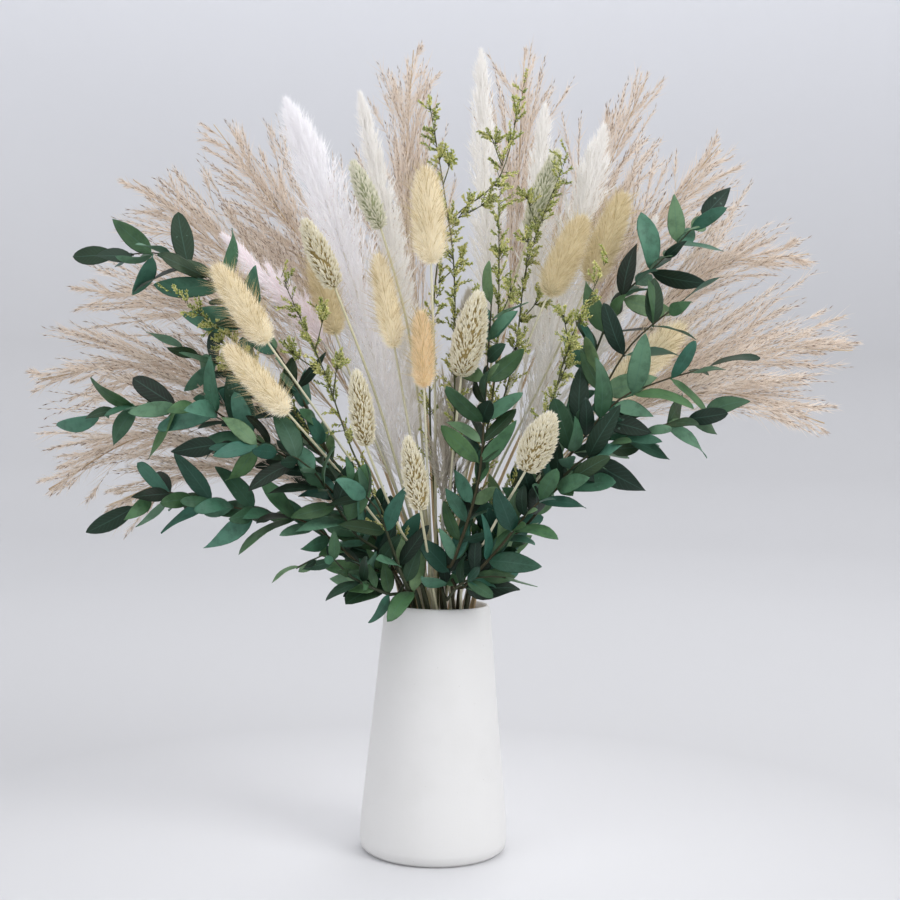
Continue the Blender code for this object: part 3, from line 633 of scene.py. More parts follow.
    def _grown_leaf(self, stem: Stem, station: Station, side: int, draw: Array) -> Leaf | None:
        """A leaf on one side of a stem or at its tip, turned or shortened until it is clear.

        Args:
            stem: the stem it grows on.
            station: where it grows.
            side: 1, -1, or 0 at the tip.
            draw: four random shares for its length, lean, spread and roll.

        Returns:
            The leaf, or None where nothing is clear.
        """
        point, tangent, to_tip = station
        young = YOUNG_LEAF if to_tip < LEAF_SPACING * YOUNG_LEAVES else 1
        length = stem.size * between(draw[0], LEAF_SIZES) * young
        sideways = np.cross(tangent, DEPTH) * side if side else UP
        lean = LEAF_LEAN * between(draw[1], LEAF_LEANS) if side else TIP_LEAF_LEAN
        widening = 1 if side else TIP_LEAF_SPREAD
        for shortening in SHORTENINGS:
            for turn in LEAF_TURNS:
                spread = (LEAF_SPREAD * (draw[2] - 0.5) + turn) * widening
                along, across = leaf_ways(tangent, sideways, lean, spread, draw[3])
                root = point - (along * LEAF_SINK if side else tangent * TIP_LEAF_SINK)
                leaf = Leaf(root, along, across, length * shortening)
                if self.room.claim(stem.name, *self._leaf_rods(leaf), LEAF_GAP):
                    return leaf
        return None

    def _leaves_on(self, stem: Stem) -> list[Leaf]:
        """Opposite pairs along the leafy share of a eucalyptus stem, and one leaf at its tip."""
        leaves = []
        for index, station in enumerate(self.stations(stem, LEAFY_LENGTH, LEAF_SPACING)):
            for side in ((0,) if index == 0 else (1, -1)):
                leaves.append(self._grown_leaf(stem, station, side, self.rng.random(4)))
        return [leaf for leaf in leaves if leaf]

    def _is_left_out(self, leaf: Leaf, crowded: bool) -> bool:
        """Whether a smaller leaf would hide or fill what the photograph shows.

        That is the straw stems behind the crowded leaves; the bare air low on the right, past an edge that
        slants outwards from the mouth; and the bunny tail that peeps out between the ranges in sight.
        """
        tip = leaf.root + leaf.along * leaf.length
        middle = leaf.root + leaf.along * (leaf.length + LEAF_SINK) / 2
        edge, slope = self.bare_edge
        (left, right), (bottom, top) = self.in_sight
        return bool(
            crowded and (leaf.root + leaf.along * leaf.length / 2)[1] < self.crowded_front
            or tip[2] < self.bare_height and tip[0] > edge + slope * (tip[2] - MOUTH_HEIGHT)
            or left < middle[0] < right and bottom < middle[2] < top
        )

    def _smaller_leaves_on(self, stem: Stem) -> list[Leaf]:
        """Smaller leaves that only the looks have: between the solid's pairs and lower down the twig.

        Each pair grows at a quarter turn to the solid's, and three grow together where they crowd.

        Args:
            stem: the stem they grow on.

        Returns:
            The leaves that found room.
        """
        leaves = []
        for point, tangent, to_tip in self.stations(stem, math.inf, self.infill_spacing)[1:]:
            crowded = point[2] < self.crowded_height and abs(point[0]) < self.crowded_breadth
            if point[2] < self.infill_lowest or not crowded and to_tip > self.infill_reach:
                continue
            sizes = self.crowded_sizes if crowded else self.infill_sizes
            share = self.crowded_room if crowded else self.infill_room
            for side in ((DEPTH, ACROSS, -ACROSS) if crowded else (DEPTH, -DEPTH)):
                draw = self.rng.random(4)
                lean = LEAF_LEAN * between(draw[1], self.infill_leans)
                for turn in LEAF_TURNS:
                    along, across = leaf_ways(tangent, side, lean, turn, draw[3])
                    leaf = Leaf(point - along * LEAF_SINK, along, across, stem.size * between(draw[0], sizes))
                    if self._is_left_out(leaf, crowded):
                        continue
                    if self.room.claim(stem.name, *self._leaf_rods(leaf, share), 0.0):
                        leaves.append(leaf)
                        break
        return leaves

    def _spikes_on(
        self, stem: Stem, found: list[Station], sizes: list[float], lean: float, radius: float, sunk: float
    ) -> list[Spike]:
        """Spikes all round a stem, each turned or shortened until it is clear.

        Args:
            stem: the stem they grow on.
            found: where they grow.
            sizes: the length of each.
            lean: the angle between spike and stem.
            radius: the room that each takes round its axis.
            sunk: how far its solid goes back past the stem's axis.

        Returns:
            The root, on the stem's axis, and the tip of each spike that found room.
        """
        spikes = []
        for index, ((point, tangent, _), length) in enumerate(zip(found, sizes)):
            turns = index * GOLDEN_ANGLE + SPIKE_TURNS
            ways = [leaning(tangent, SPIKE_SIDE, lean, turn) for turn in turns]
            for reach in length * np.array(SHORTENINGS):
                along = next((way for way in ways if self.room.free(
                    stem.name, [point + way * SPIKE_BARE], [point + way * reach], radius, LEAF_GAP
                )), None)
                if along is not None:
                    self.room.take(stem.name, [point - along * sunk], [point + along * reach], [radius])
                    spikes.append((point, point + along * reach))
                    break
        return spikes


# Meshes: every shape is worked out as whole arrays of points and triangles

PATH_STEPS = 16
MARKS = ("shade", "along", "across", "face")


def frames(directions: Array) -> tuple[Array, Array]:
    """Two unit vectors square to each direction and to each other, in right-handed order after it.

    The first is the direction crossed with the world axis that it leans to least.
    """
    least = np.eye(3)[np.argmin(np.abs(directions), axis=-1)]
    first = unit(np.cross(directions, least))
    return first, np.cross(directions, first)


def circling(first: Array, second: Array, angle: Array) -> Array:
    """Directions between two square unit vectors: cosine of the angle along one, sine along the other."""
    return first * np.cos(angle)[..., None] + second * np.sin(angle)[..., None]


def shared_turn(count: int) -> Array:
    """The angles that share a full turn evenly."""
    return np.arange(count) * 2 * math.pi / count


@dataclass
class Batch:
    """Points and triangles gathered for one piece, with the marks that its finishes read.

    They are: shade, a random share for each strand or leaf; along, from root to tip; across, from one
    edge of a blade to the other; and face, 1 on the upper side of a blade.
    """

    points: list[Array] = field(default_factory=list)
    triangles: list[Array] = field(default_factory=list)
    finishes: list[Array] = field(default_factory=list)
    smooth: list[Array] = field(default_factory=list)
    marks: dict[str, list[Array]] = field(default_factory=lambda: {mark: [] for mark in MARKS})
    count: int = 0

    def add(
        self, shapes: Array, one: Array, finish: int, smooth: bool, shade: Array, **marks: Array
    ) -> None:
        """Adds a row of shapes that are built alike.

        Args:
            shapes: their points, shaped (shapes, points, 3).
            one: the triangles of one shape, as rows of three indices.
            finish: the finish's number.
            smooth: whether the shading is smooth.
            shade: a share for each shape.
            marks: for each other mark that isn't 0, a value for every point of a shape.
        """
        count, size, _ = shapes.shape
        triangles = one + (self.count + np.arange(count) * size)[:, None, None]
        self.points.append(shapes.reshape(-1, 3))
        self.triangles.append(triangles.reshape(-1, 3))
        self.finishes.append(np.full(count * len(one), finish))
        self.smooth.append(np.full(count * len(one), smooth))
        marks["shade"] = shade[:, None]
        for name, values in self.marks.items():
            values.append(np.broadcast_to(marks.get(name, 0.0), (count, size)).ravel())
        self.count += count * size

    def loft(
        self, rings: Array, finish: int, shade: Array, along: Array | None = None,
        across: Array | float = 0.0, face: Array | float = 0.0,
    ) -> None:
        """Adds closed skins over rows of rings: sides between neighbouring rings, and flat ends.

        The point of ring i at turn j joins those of ring i + 1 and turn j + 1 by two triangles.

        Args:
            rings: points shaped (shapes, rings, turns, 3), anticlockwise as seen from the last ring.
            finish: the finish's number.
            shade: a share for each shape.
            along: a value for each ring, from 0 to 1 if left out.
            across, face: values for the turns.
        """
        shapes, count, turns, _ = rings.shape
        ring, turn = np.indices((count - 1, turns))
        here, beside = ring * turns + turn, ring * turns + (turn + 1) % turns
        sides = np.stack([here, beside, beside + turns, here, beside + turns, here + turns], -1)
        fan = np.arange(1, turns - 1)
        start = np.stack([fan * 0, fan + 1, fan], -1)
        end = np.stack([fan * 0, fan, fan + 1], -1) + (count - 1) * turns
        along = np.linspace(0, 1, count) if along is None else along
        self.add(
            rings.reshape(shapes, -1, 3), np.vstack([sides.reshape(-1, 3), start, end]), finish, True, shade,
            along=np.repeat(along, turns), across=np.tile(np.broadcast_to(across, turns), count),
            face=np.tile(np.broadcast_to(face, turns), count),
        )

    def tubes(self, paths: Array, radii: Array, turns: int, finish: int, shade: Array) -> None:
        """Adds round tubes: each ring is its path's point plus the radius times cosine and sine of the turn.

        Args:
            paths: points shaped (tubes, points, 3).
            radii: a radius for every point of a tube.
            turns: the sides of a tube.
            finish: the finish's number.
            shade: a share for each tube.
        """
        tangents = unit(np.gradient(paths, axis=1))
        reference, _ = frames(unit(paths[:, -1] - paths[:, 0]))
        second = unit(np.cross(tangents, reference[:, None]))
        first = np.cross(second, tangents)
        circle = circling(first[:, :, None], second[:, :, None], shared_turn(turns))
        self.loft(paths[:, :, None] + circle * radii[:, None, None], finish, shade)

    @staticmethod
    def _collar(roots: Array, tips: Array, width: Array | float) -> Array:
        """Three points round each way from root to tip, seen from its axis, half the width away."""
        first, second = frames(unit(tips - roots))
        half = np.broadcast_to(width, len(roots))[:, None, None] / 2
        return circling(first[:, None], second[:, None], shared_turn(3)) * half

    def hairs(self, roots: Array, tips: Array, width: Array | float, finish: int, shade: Array) -> None:
        """Adds hairs as slim needles: a small triangle round the root and a point at the tip.

        Real ones are too fine to show, so these are several times as wide.

        Args:
            roots, tips: ends of the hairs, shaped (hairs, 3).
            width: the width at the root.
            finish: the finish's number.
            shade: a share for each hair.
        """
        base = roots[:, None] + self._collar(roots, tips, width)
        one = np.array(((0, 1, 3), (1, 2, 3), (2, 0, 3), (0, 2, 1)))
        shapes = np.concatenate([base, tips[:, None]], axis=1)
        self.add(shapes, one, finish, False, shade, along=np.array((0.0, 0.0, 0.0, 1.0)))

    def spindles(
        self, roots: Array, tips: Array, width: Array, waist: float, finish: int, shade: Array
    ) -> None:
        """Adds buds: a point at the root, a triangle round the waist and a point at the tip.

        Args:
            roots, tips: ends of the buds, shaped (buds, 3).
            width: the width of each at its waist.
            waist: where the waist lies between root and tip.
            finish: the finish's number.
            shade: a share for each bud.
        """
        middle = (roots + (tips - roots) * waist)[:, None] + self._collar(roots, tips, width)
        one = np.array(((0, 2, 1), (0, 3, 2), (0, 1, 3), (4, 1, 2), (4, 2, 3), (4, 3, 1)))
        shapes = np.concatenate([roots[:, None], middle, tips[:, None]], axis=1)
        self.add(shapes, one, finish, False, shade, along=np.array((0.0, waist, waist, waist, 1.0)))

    def piece(self, name: str, materials: list[Material], replaced: str, slot: str) -> None:
        """Makes the mesh object, in metres, under the root, and hides the solid that it stands for.

        Args:
            name: the piece's name.
            materials: its finishes, in order.
            replaced: the node that it stands for.
            slot: the record's material slot; not used.
        """
        points = np.vstack(self.points) * MM
        triangles = np.vstack(self.triangles)
        mesh = bpy.data.meshes.new(name)
        mesh.vertices.add(len(points))
        mesh.vertices.foreach_set("co", points.ravel())
        mesh.loops.add(triangles.size)
        mesh.loops.foreach_set("vertex_index", triangles.ravel().astype(np.int32))
        mesh.polygons.add(len(triangles))
        mesh.polygons.foreach_set("loop_start", np.arange(0, triangles.size, 3, dtype=np.int32))
        mesh.polygons.foreach_set("material_index", np.concatenate(self.finishes).astype(np.int32))
        mesh.polygons.foreach_set("use_smooth", np.concatenate(self.smooth))
        mesh.update(calc_edges=True)
        for mark, values in self.marks.items():
            mesh.attributes.new(mark, "FLOAT", "POINT").data.foreach_set("value", np.concatenate(values))
        for material in materials:
            mesh.materials.append(material)
        piece = bpy.data.objects.new(name, mesh)
        bpy.context.scene.collection.objects.link(piece)
        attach(piece, "root")
        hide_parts(replaced)
        LOG.info("%s: %d triangles", name, len(triangles))


def on_line(at: Array, corners: Line) -> Array:
    """The height at each place of a broken line, given by the places and heights of its corners."""
    return np.interp(at, *np.array(corners).T)


def at_marks(marks: Array, run: Array, rows: Array) -> Array:
    """The rows, each of which stands at a way run, interpolated at the marks."""
    return np.column_stack([np.interp(marks, run, column) for column in rows.T])


def smooth_path(points: Array, step: float) -> Array:
    """A path through the points, resampled evenly.

    Between two points it is the cubic whose end slopes are half the chord between their neighbours.

    Args:
        points: the points to pass.
        step: about how far apart the new points are.

    Returns:
        The new points.
    """
    ends = np.vstack([2 * points[0] - points[1], points, 2 * points[-1] - points[-2]])
    slopes = (ends[2:] - ends[:-2]) / 2
    t = np.linspace(0, 1, PATH_STEPS + 1)[:-1, None]
    legs = [cubic(*leg, t) for leg in zip(points[:-1], points[1:], slopes[:-1], slopes[1:])]
    fine = np.vstack([*legs, points[-1:]])
    run = way_run(fine)
    return at_marks(np.linspace(0, run[-1], max(3, round(run[-1] / step) + 1)), run, fine)


def along_path(path: Array, back: Array) -> tuple[Array, Array]:
    """Finds points on a path.

    Args:
        path: the path's points.
        back: the ways back from its end.

    Returns:
        The points and the unit tangents there.
    """
    run = way_run(path)
    at = np.clip(run[-1] - back, 0, run[-1])
    return at_marks(at, run, path), unit(at_marks(at, run, unit(np.gradient(path, axis=0))))


def leaned(directions: Array, turn: Array, lean: Array) -> Array:
    """Unit directions that leave the given ones by the lean, each to the side at its turn."""
    return circling(directions, circling(*frames(directions), turn), lean)


# Finishes

Settings = dict[str | int, object]
Finishes = dict[str, list[Material]]


def linear(colour: str) -> tuple[float, ...]:
    """An sRGB hex colour as linear red, green, blue and alpha."""
    values = (int(colour[i:i + 2], 16) / 255 for i in (1, 3, 5))
    return (*(v / 12.92 if v <= 0.04045 else ((v + 0.055) / 1.055) ** 2.4 for v in values), 1.0)


def fit(tree: NodeTree, node: Node, settings: Settings) -> None:
    """Gives a node its settings and links.

    Args:
        tree: the material's node tree.
        node: the node.
        settings: values or outputs to link, for inputs by name or number and for the node's properties.
            The hex colours of a ramp go under the key colours, and are spaced evenly.
    """
    for key, value in settings.items():
        if isinstance(value, NodeSocket):
            tree.links.new(value, node.inputs[key])
        elif key == "colours":
            stops = node.color_ramp.elements
            while len(stops) < len(value):
                stops.new(0.5)
            for index, colour in enumerate(value):
                stops[index].position = index / max(1, len(value) - 1)
                stops[index].color = linear(colour)
        elif isinstance(key, int) or key in node.inputs:
            node.inputs[key].default_value = value
        else:
            setattr(node, key, value)


def add(tree: NodeTree, kind: str, settings: Settings, output: str | int = 0) -> NodeSocket:
    """Adds a node with its settings and links.

    Args:
        tree: the material's node tree.
        kind: the node's type, without the word that all types start with.
        settings: its values and links.
        output: the output that is wanted, by name or number.

    Returns:
        That output.
    """
    node = tree.nodes.new(f"ShaderNode{kind}")
    fit(tree, node, settings)
    return node.outputs[output]


@dataclass(frozen=True)
class Finish:
    """A procedural material on the surface shader; each finish says what the shader gets."""

    name: str

    def paint(self, tree: NodeTree) -> Settings:
        """Adds the finish's nodes to the tree, and returns what the shader gets."""
        raise NotImplementedError

    def build(self) -> Material:
        """Makes the material."""
        material = bpy.data.materials.new(self.name)
        material.use_nodes = True
        tree = material.node_tree
        fit(tree, tree.nodes["Principled BSDF"], self.paint(tree))
        return material


@dataclass(frozen=True)
class PlantFinish(Finish):
    """A dry plant's surface: strands of slightly different colours, fibrous grain and hardly any gloss.

    Silk and down have no grain, but a painted glow: emission in the lightest colour, for light that crowded
    hairs pass on.
    """

    colours: tuple[str, ...]
    tip: str | None = None
    tip_from: float = 0.0
    tip_share: float = 1.0
    grain: str | None = None
    grain_mm: float = 1.2
    grain_range: Pair = (0.35, 0.75)
    grain_share: float = 0.25
    roughness: float = 0.85
    gloss: float = 0.2
    bump: float = 0.4
    bump_mm: float = 0.05
    # painted glow: strength of the emission in the finish's lightest colour
    painted_glow: float = 0.0

    def paint(self, tree: NodeTree) -> Settings:
        """Mixes a ramp over shade, the tip's colour along the strand, and grain from noise."""
        shade = add(tree, "Attribute", {"attribute_name": "shade"}, "Fac")
        colour = add(tree, "ValToRGB", {"colours": self.colours, "Fac": shade})
        if self.tip:
            along = add(tree, "Attribute", {"attribute_name": "along"}, "Fac")
            reach = add(tree, "MapRange", {
                "Value": along, "From Min": self.tip_from, "To Max": self.tip_share,
            })
            colour = add(tree, "Mix", {"data_type": "RGBA", 0: reach, 6: colour, 7: linear(self.tip)}, 2)
        # Painted glow: emission in the lightest colour stands in for the light that crowded hairs pass on to
        # each other.
        shader: Settings = {
            "Roughness": self.roughness, "Specular IOR Level": 0.0,
            "Emission Color": linear(self.colours[-1]), "Emission Strength": self.painted_glow,
        }
        if self.grain:
            place = add(tree, "TexCoord", {}, "Object")
            scale = 1 / (self.grain_mm * MM)
            grain = add(tree, "TexNoise", {"Vector": place, "Scale": scale, "Detail": 2.0})
            start, end = self.grain_range
            strength = add(tree, "MapRange", {
                "Value": grain, "From Min": start, "From Max": end, "To Max": self.grain_share,
            })
            colour = add(tree, "Mix", {"data_type": "RGBA", 0: strength, 6: colour, 7: linear(self.grain)}, 2)
            shader["Normal"] = add(tree, "Bump", {
                "Height": grain, "Strength": self.bump, "Distance": self.bump_mm * MM,
            })
            shader["Specular IOR Level"] = self.gloss
        return {"Base Color": colour, **shader}


@dataclass(frozen=True)
class StrawFinish(PlantFinish):
    """Dried straw: fine-grained, and smoother than the rest of the plant."""

    grain_mm: float = 0.9
    roughness: float = 0.6


@dataclass(frozen=True)
class LeafFinish(Finish):
    """Preserved eucalyptus: dyed, waxy leaves with a pale midrib, fine side veins and mottling."""

    colours: tuple[str, ...]
    vein: str
    underside: str
    mottle: str
    mottle_mm: float = 7.0
    mottle_range: Pair = (0.45, 0.75)
    mottle_share: float = 0.55
    midrib_half: float = 0.08
    midrib_share: float = 0.4
    vein_slant: float = -0.16
    vein_pitch: float = 88.0
    vein_from: float = 0.72
    vein_share: float = 0.12
    vein_mm: float = 0.12
    underside_share: float = 0.45
    roughness: Pair = (0.42, 0.64)
    gloss: float = 0.35

    def paint(self, tree: NodeTree) -> Settings:
        """Mixes leaf colour by shade, mottling, veins from along and across, and a paler underside.

        Side veins leave the midrib at an acute angle: they are the crests of a sine of the way along, less
        a share of the way across.
        """
        marks = (add(tree, "Attribute", {"attribute_name": mark}, "Fac") for mark in MARKS)
        shade, along, across, face = marks
        place = add(tree, "TexCoord", {}, "Object")
        colour = add(tree, "ValToRGB", {"colours": self.colours, "Fac": shade})
        scale = 1 / (self.mottle_mm * MM)
        mottle = add(tree, "TexNoise", {"Vector": place, "Scale": scale, "Detail": 4.0, "Roughness": 0.65})
        start, end = self.mottle_range
        patches = add(tree, "MapRange", {
            "Value": mottle, "From Min": start, "From Max": end, "To Max": self.mottle_share,
        })
        colour = add(tree, "Mix", {"data_type": "RGBA", 0: patches, 6: colour, 7: linear(self.mottle)}, 2)
        width = add(tree, "Math", {"operation": "ABSOLUTE", 0: across})
        midrib = add(tree, "MapRange", {
            "Value": width, "From Max": self.midrib_half, "To Min": self.midrib_share, "To Max": 0.0,
        })
        slant = add(tree, "Math", {"operation": "MULTIPLY_ADD", 0: width, 1: self.vein_slant, 2: along})
        turns = add(tree, "Math", {"operation": "MULTIPLY", 0: slant, 1: self.vein_pitch})
        wave = add(tree, "Math", {"operation": "SINE", 0: turns})
        veins = add(tree, "MapRange", {"Value": wave, "From Min": self.vein_from, "To Max": self.vein_share})
        lines = add(tree, "Math", {"operation": "MAXIMUM", 0: midrib, 1: veins})
        colour = add(tree, "Mix", {"data_type": "RGBA", 0: lines, 6: colour, 7: linear(self.vein)}, 2)
        under = add(tree, "MapRange", {"Value": face, "To Min": self.underside_share, "To Max": 0.0})
        colour = add(tree, "Mix", {"data_type": "RGBA", 0: under, 6: colour, 7: linear(self.underside)}, 2)
        low, high = self.roughness
        rough = add(tree, "MapRange", {"Value": mottle, "To Min": low, "To Max": high})
        bump = add(tree, "Bump", {"Height": lines, "Strength": 0.5, "Distance": self.vein_mm * MM})
        return {"Base Color": colour, "Roughness": rough, "Normal": bump, "Specular IOR Level": self.gloss}


@dataclass(frozen=True)
class CeramicFinish(Finish):
    """Matte white stoneware: cast, sanded and left with a chalky slip, so light spreads over it evenly."""

    body: str
    cloud: str
    speck: str
    cloud_mm: float = 45.0
    cloud_swell: float = 6.0
    pore_pitch_mm: float = 9.0
    pore_share: float = 0.35
    skin_mm: float = 2.2
    relief_mm: float = 0.12
    roughness: float = 0.62
    gloss: float = 0.4

    def paint(self, tree: NodeTree) -> Settings:
        """Mixes faint clouds of tone and rare pores, over a soft bump."""
        place = add(tree, "TexCoord", {}, "Object")
        cloud = add(tree, "TexNoise", {"Vector": place, "Scale": 1 / (self.cloud_mm * MM), "Detail": 3.0})
        colour = add(tree, "ValToRGB", {"colours": (self.cloud, self.body, self.body), "Fac": cloud})
        pitch = 1 / (self.pore_pitch_mm * MM)
        pores = add(tree, "TexVoronoi", {"Vector": place, "Scale": pitch, "Randomness": 1.0})
        specks = add(tree, "MapRange", {
            "Value": pores, "From Min": 0.02, "From Max": 0.05, "To Min": self.pore_share, "To Max": 0.0,
        })
        colour = add(tree, "Mix", {"data_type": "RGBA", 0: specks, 6: colour, 7: linear(self.speck)}, 2)
        scale = 1 / (self.skin_mm * MM)
        skin = add(tree, "TexNoise", {"Vector": place, "Scale": scale, "Detail": 5.0, "Roughness": 0.6})
        swell = add(tree, "Math", {"operation": "MULTIPLY_ADD", 0: cloud, 1: self.cloud_swell, 2: skin})
        bump = add(tree, "Bump", {"Height": swell, "Strength": 0.35, "Distance": self.relief_mm * MM})
        return {
            "Base Color": colour, "Normal": bump,
            "Roughness": self.roughness, "Specular IOR Level": self.gloss,
        }


@dataclass(frozen=True)
class BoardFinish(Finish):
    """Matte painted board: palest round the vase, darker behind it as grey wall and painted shade, paler up
    high as painted light.
    """

    # near is the white table; far is the grey wall, deepened with painted shade; top is painted light high on
    # the wall
    near: str = "#dadadc"
    far: str = "#c2c2c4"
    top: str = "#e4e5e9"
    table_m: Pair = (0.1, 0.4)
    painted_light_wall_m: Pair = (3.1, 3.6)
    roughness: float = 0.8

    def paint(self, tree: NodeTree) -> Settings:
        """Mixes the tones by the distance from the foot of the vase."""
        place = add(tree, "TexCoord", {}, "Object")
        away = add(tree, "VectorMath", {"operation": "LENGTH", 0: place}, "Value")
        table, wall = (
            add(tree, "MapRange", {"Value": away, "From Min": start, "From Max": end})
            for start, end in (self.table_m, self.painted_light_wall_m)
        )
        # Painted light and shade: darker away from the vase, and paler again high on the wall.
        board = add(tree, "ValToRGB", {"colours": (self.near, self.far), "Fac": table})
        colour = add(tree, "Mix", {"data_type": "RGBA", 0: wall, 6: board, 7: linear(self.top)}, 2)
        return {"Base Color": colour, "Roughness": self.roughness}


# The pieces


@dataclass
class Plant:
    """One stem as a piece of its own: a stalk, and what grows on it."""

    plan: Plan
    stem: Stem
    kind: ClassVar[Kind]
    ending: ClassVar[str]
    usual: ClassVar[str] = "usual"
    tones: ClassVar[dict[int, str]] = {}
    stalk_radii: Pair = (1.0, 0.8)
    stalk_turns: int = 7
    stalk_step: float = 9.0

    def __post_init__(self) -> None:
        """Starts the piece's mesh, and random numbers seeded by the stem's kind and number."""
        self.batch = Batch()
        self.seed = [SEED, list(Kind).index(self.kind), self.stem.number]
        self.rng = np.random.default_rng(self.seed)

    def shares(self, *shape: int) -> Array:
        """Even draws from 0 to 1."""
        return self.rng.random(shape)

    def spans(self, span: Pair, *shape: int) -> Array:
        """Even draws from one end of a span to the other."""
        return between(self.rng.random(shape), span)

    def turns(self, count: int) -> Array:
        """Even draws of an angle out of a full turn."""
        return self.rng.random(count) * 2 * math.pi

    def about(self, spread: float, *shape: int) -> Array:
        """Draws that lie about 0 as on a bell curve of this spread."""
        return spread * self.rng.normal(size=shape)

    @staticmethod
    def finishes() -> Finishes:
        """The finishes of each tone, in the order of their numbers."""
        raise NotImplementedError

    def grow(self) -> None:
        """Adds the stalk, and what grows on it, to the piece."""
        raise NotImplementedError

    @classmethod
    def build_all(cls, plan: Plan) -> None:
        """Builds every stem of the kind."""
        finishes = cls.finishes()
        for stem in plan.of_kind(cls.kind):
            plant = cls(plan, stem)
            plant.grow()
            tone = cls.tones.get(stem.number, cls.usual)
            plant.batch.piece(f"{stem.name}_{cls.ending}", finishes[tone], stem.name, cls.kind.value)

    def add_stalk(self, end: Array | None = None) -> Array:
        """Adds the stalk with the first finish, tapering from the mouth to its end.

        Args:
            end: where it ends, if not at the stem's last point.

        Returns:
            The stalk's path.
        """
        points = self.stem.points if end is None else np.vstack([self.stem.points[:-1], end])
        path = smooth_path(points, self.stalk_step)
        taper = np.interp(path[:, 2], (MOUTH_HEIGHT, path[:, 2].max()), self.stalk_radii)
        self.batch.tubes(path[None], taper, self.stalk_turns, 0, np.random.default_rng(self.seed).random(1))
        return path


@dataclass
class HeadedGrass(Plant):
    """Grass with an egg-shaped core in its head, under what covers it.

    The outline gives the core's half width and its height, both as shares of what the cover leaves.
    """

    outline: Line = ()
    cover_depth: float = 0.0
    cover_tip: float = 0.0
    core_turns: int = 18
    core_shade: float = 0.5
    stalk_end: float = 0.2

    def surface(self, along: Array, turn: Array, swell: float = 1.0) -> tuple[Array, Array]:
        """Points round the core: a point on the head's axis plus the outline's half width outwards.

        Args:
            along: shares of the way along it.
            turn: angles round it.
            swell: a share of the half width.

        Returns:
            The points, and the directions outwards.
        """
        base, tip = self.stem.points[-2:]
        axis = unit(tip - base)
        out = circling(*frames(axis), turn)
        radii, heights = np.array(self.outline).T
        radius = np.interp(along, heights, radii) * (self.stem.size - self.cover_depth) * swell
        reach = along * (np.linalg.norm(tip - base) - self.cover_tip)
        return base + axis * reach[..., None] + out * radius[..., None], out

    def add_core(self) -> Array:
        """Adds the stalk and the core, and returns the head's axis."""
        base, tip = self.stem.points[-2:]
        self.add_stalk(base + (tip - base) * self.stalk_end)
        heights = np.array(self.outline)[:, 1]
        rings, _ = self.surface(heights[:, None], shared_turn(self.core_turns))
        self.batch.loft(rings[None], 1, np.array([self.core_shade]), heights)
        return unit(tip - base)


@dataclass(frozen=True)
class Cover:
    """One sort of hairs on a head: how many, how long and wide, where they start and how far they open."""

    finish: int
    count: int
    length: float
    width: float
    lowest: float = 0.0
    opening: float = 0.0


@dataclass
class BunnyTail(HeadedGrass):
    """Bunny tail grass: downy egg-shaped heads with long awns, on straw stalks."""

    kind = Kind.BUNNY
    ending = "downy"
    tones = {5: "tan", 6: "khaki", 7: "khaki", 8: "khaki"}
    usual = "cream"
    stalk_radii: Pair = (0.95, 0.75)
    outline: Line = (
        (0.05, 0.0), (0.40, 0.02), (0.70, 0.06), (0.88, 0.14), (0.97, 0.26), (1.0, 0.42),
        (0.97, 0.58), (0.89, 0.72), (0.74, 0.84), (0.50, 0.93), (0.24, 0.98), (0.04, 1.0),
    )
    cover_depth: float = 3.4
    cover_tip: float = 6.0
    core_shade: float = 0.4
    down: Cover = Cover(finish=2, count=3400, length=6.5, width=0.36)
    awns: Cover = Cover(finish=3, count=360, length=16.0, width=0.34, lowest=0.12, opening=math.radians(19))
    usual_size: float = 12.0
    lengths: Pair = (0.6, 1.1)
    length_along: Line = ((0.0, 0.6), (0.1, 1.0))
    lean_along: Line = ((0.0, 120.0), (0.07, 62.0), (0.25, 34.0), (1.0, 20.0))
    lean_spread: float = math.radians(10)
    stray: float = 0.07
    root_depth: float = 0.5
    pale_foot: float = 0.3
    pale_along: Line = ((0.0, 1.0), (0.12, 0.9), (0.3, 0.0))

    @staticmethod
    def finishes() -> Finishes:
        """Cream, tan and khaki heads: down bleached more or less by drying, over straw."""
        straw = StrawFinish("straw_stalk_dried", ("#d8d2b2", "#e6e2c9", "#cfc9a6"), grain="#b0a67e").build()
        awn = PlantFinish("grass_awn_bristly", ("#c9b586", "#d8c79c", "#e6d8b4"), roughness=0.8).build()
        heads = {
            "cream": (("#eaddbb", "#f2e7cc", "#f9f2e1"), "#fcf7ea"),
            "tan": (("#dfc596", "#ebd4aa", "#f5e2c2"), "#fcf7ea"),
            "khaki": (("#d0c199", "#dbcda9", "#e5dabe"), "#eee5cf"),
        }
        found = {}
        for name, (colours, tip) in heads.items():
            down = PlantFinish(
                f"grass_down_{name}", colours, tip, tip_from=0.3, tip_share=0.6, roughness=0.9, painted_glow=0.14
            )
            core = PlantFinish(
                f"seed_head_{name}", colours[:2], grain=colours[0], grain_mm=1.1, grain_share=0.3,
                roughness=0.95, bump_mm=0.3,
            )
            found[name] = [straw, core.build(), down.build(), awn]
        return found

    def grow(self) -> None:
        """One head: stalk, core, and hairs that lean from the core towards the tip, the less the higher."""
        axis = self.add_core()
        for cover in (self.down, self.awns):
            count = cover.count
            share = self.spans((cover.lowest, 1.0), count)
            roots, out = self.surface(share, self.turns(count))
            lean = np.radians(on_line(share, self.lean_along)) + cover.opening
            way = circling(axis, out, lean + self.about(self.lean_spread, count))
            way = unit(way + self.about(self.stray, count, 3))
            reach = cover.length * (self.stem.size / self.usual_size) ** 0.5 * self.spans(self.lengths, count)
            tips = roots + way * (reach * on_line(share, self.length_along))[:, None]
            pale = self.pale_foot * on_line(share, self.pale_along)
            tone = self.shares(count) * (1 - self.pale_foot) + pale
            self.batch.hairs(roots - out * self.root_depth, tips, cover.width, cover.finish, tone)


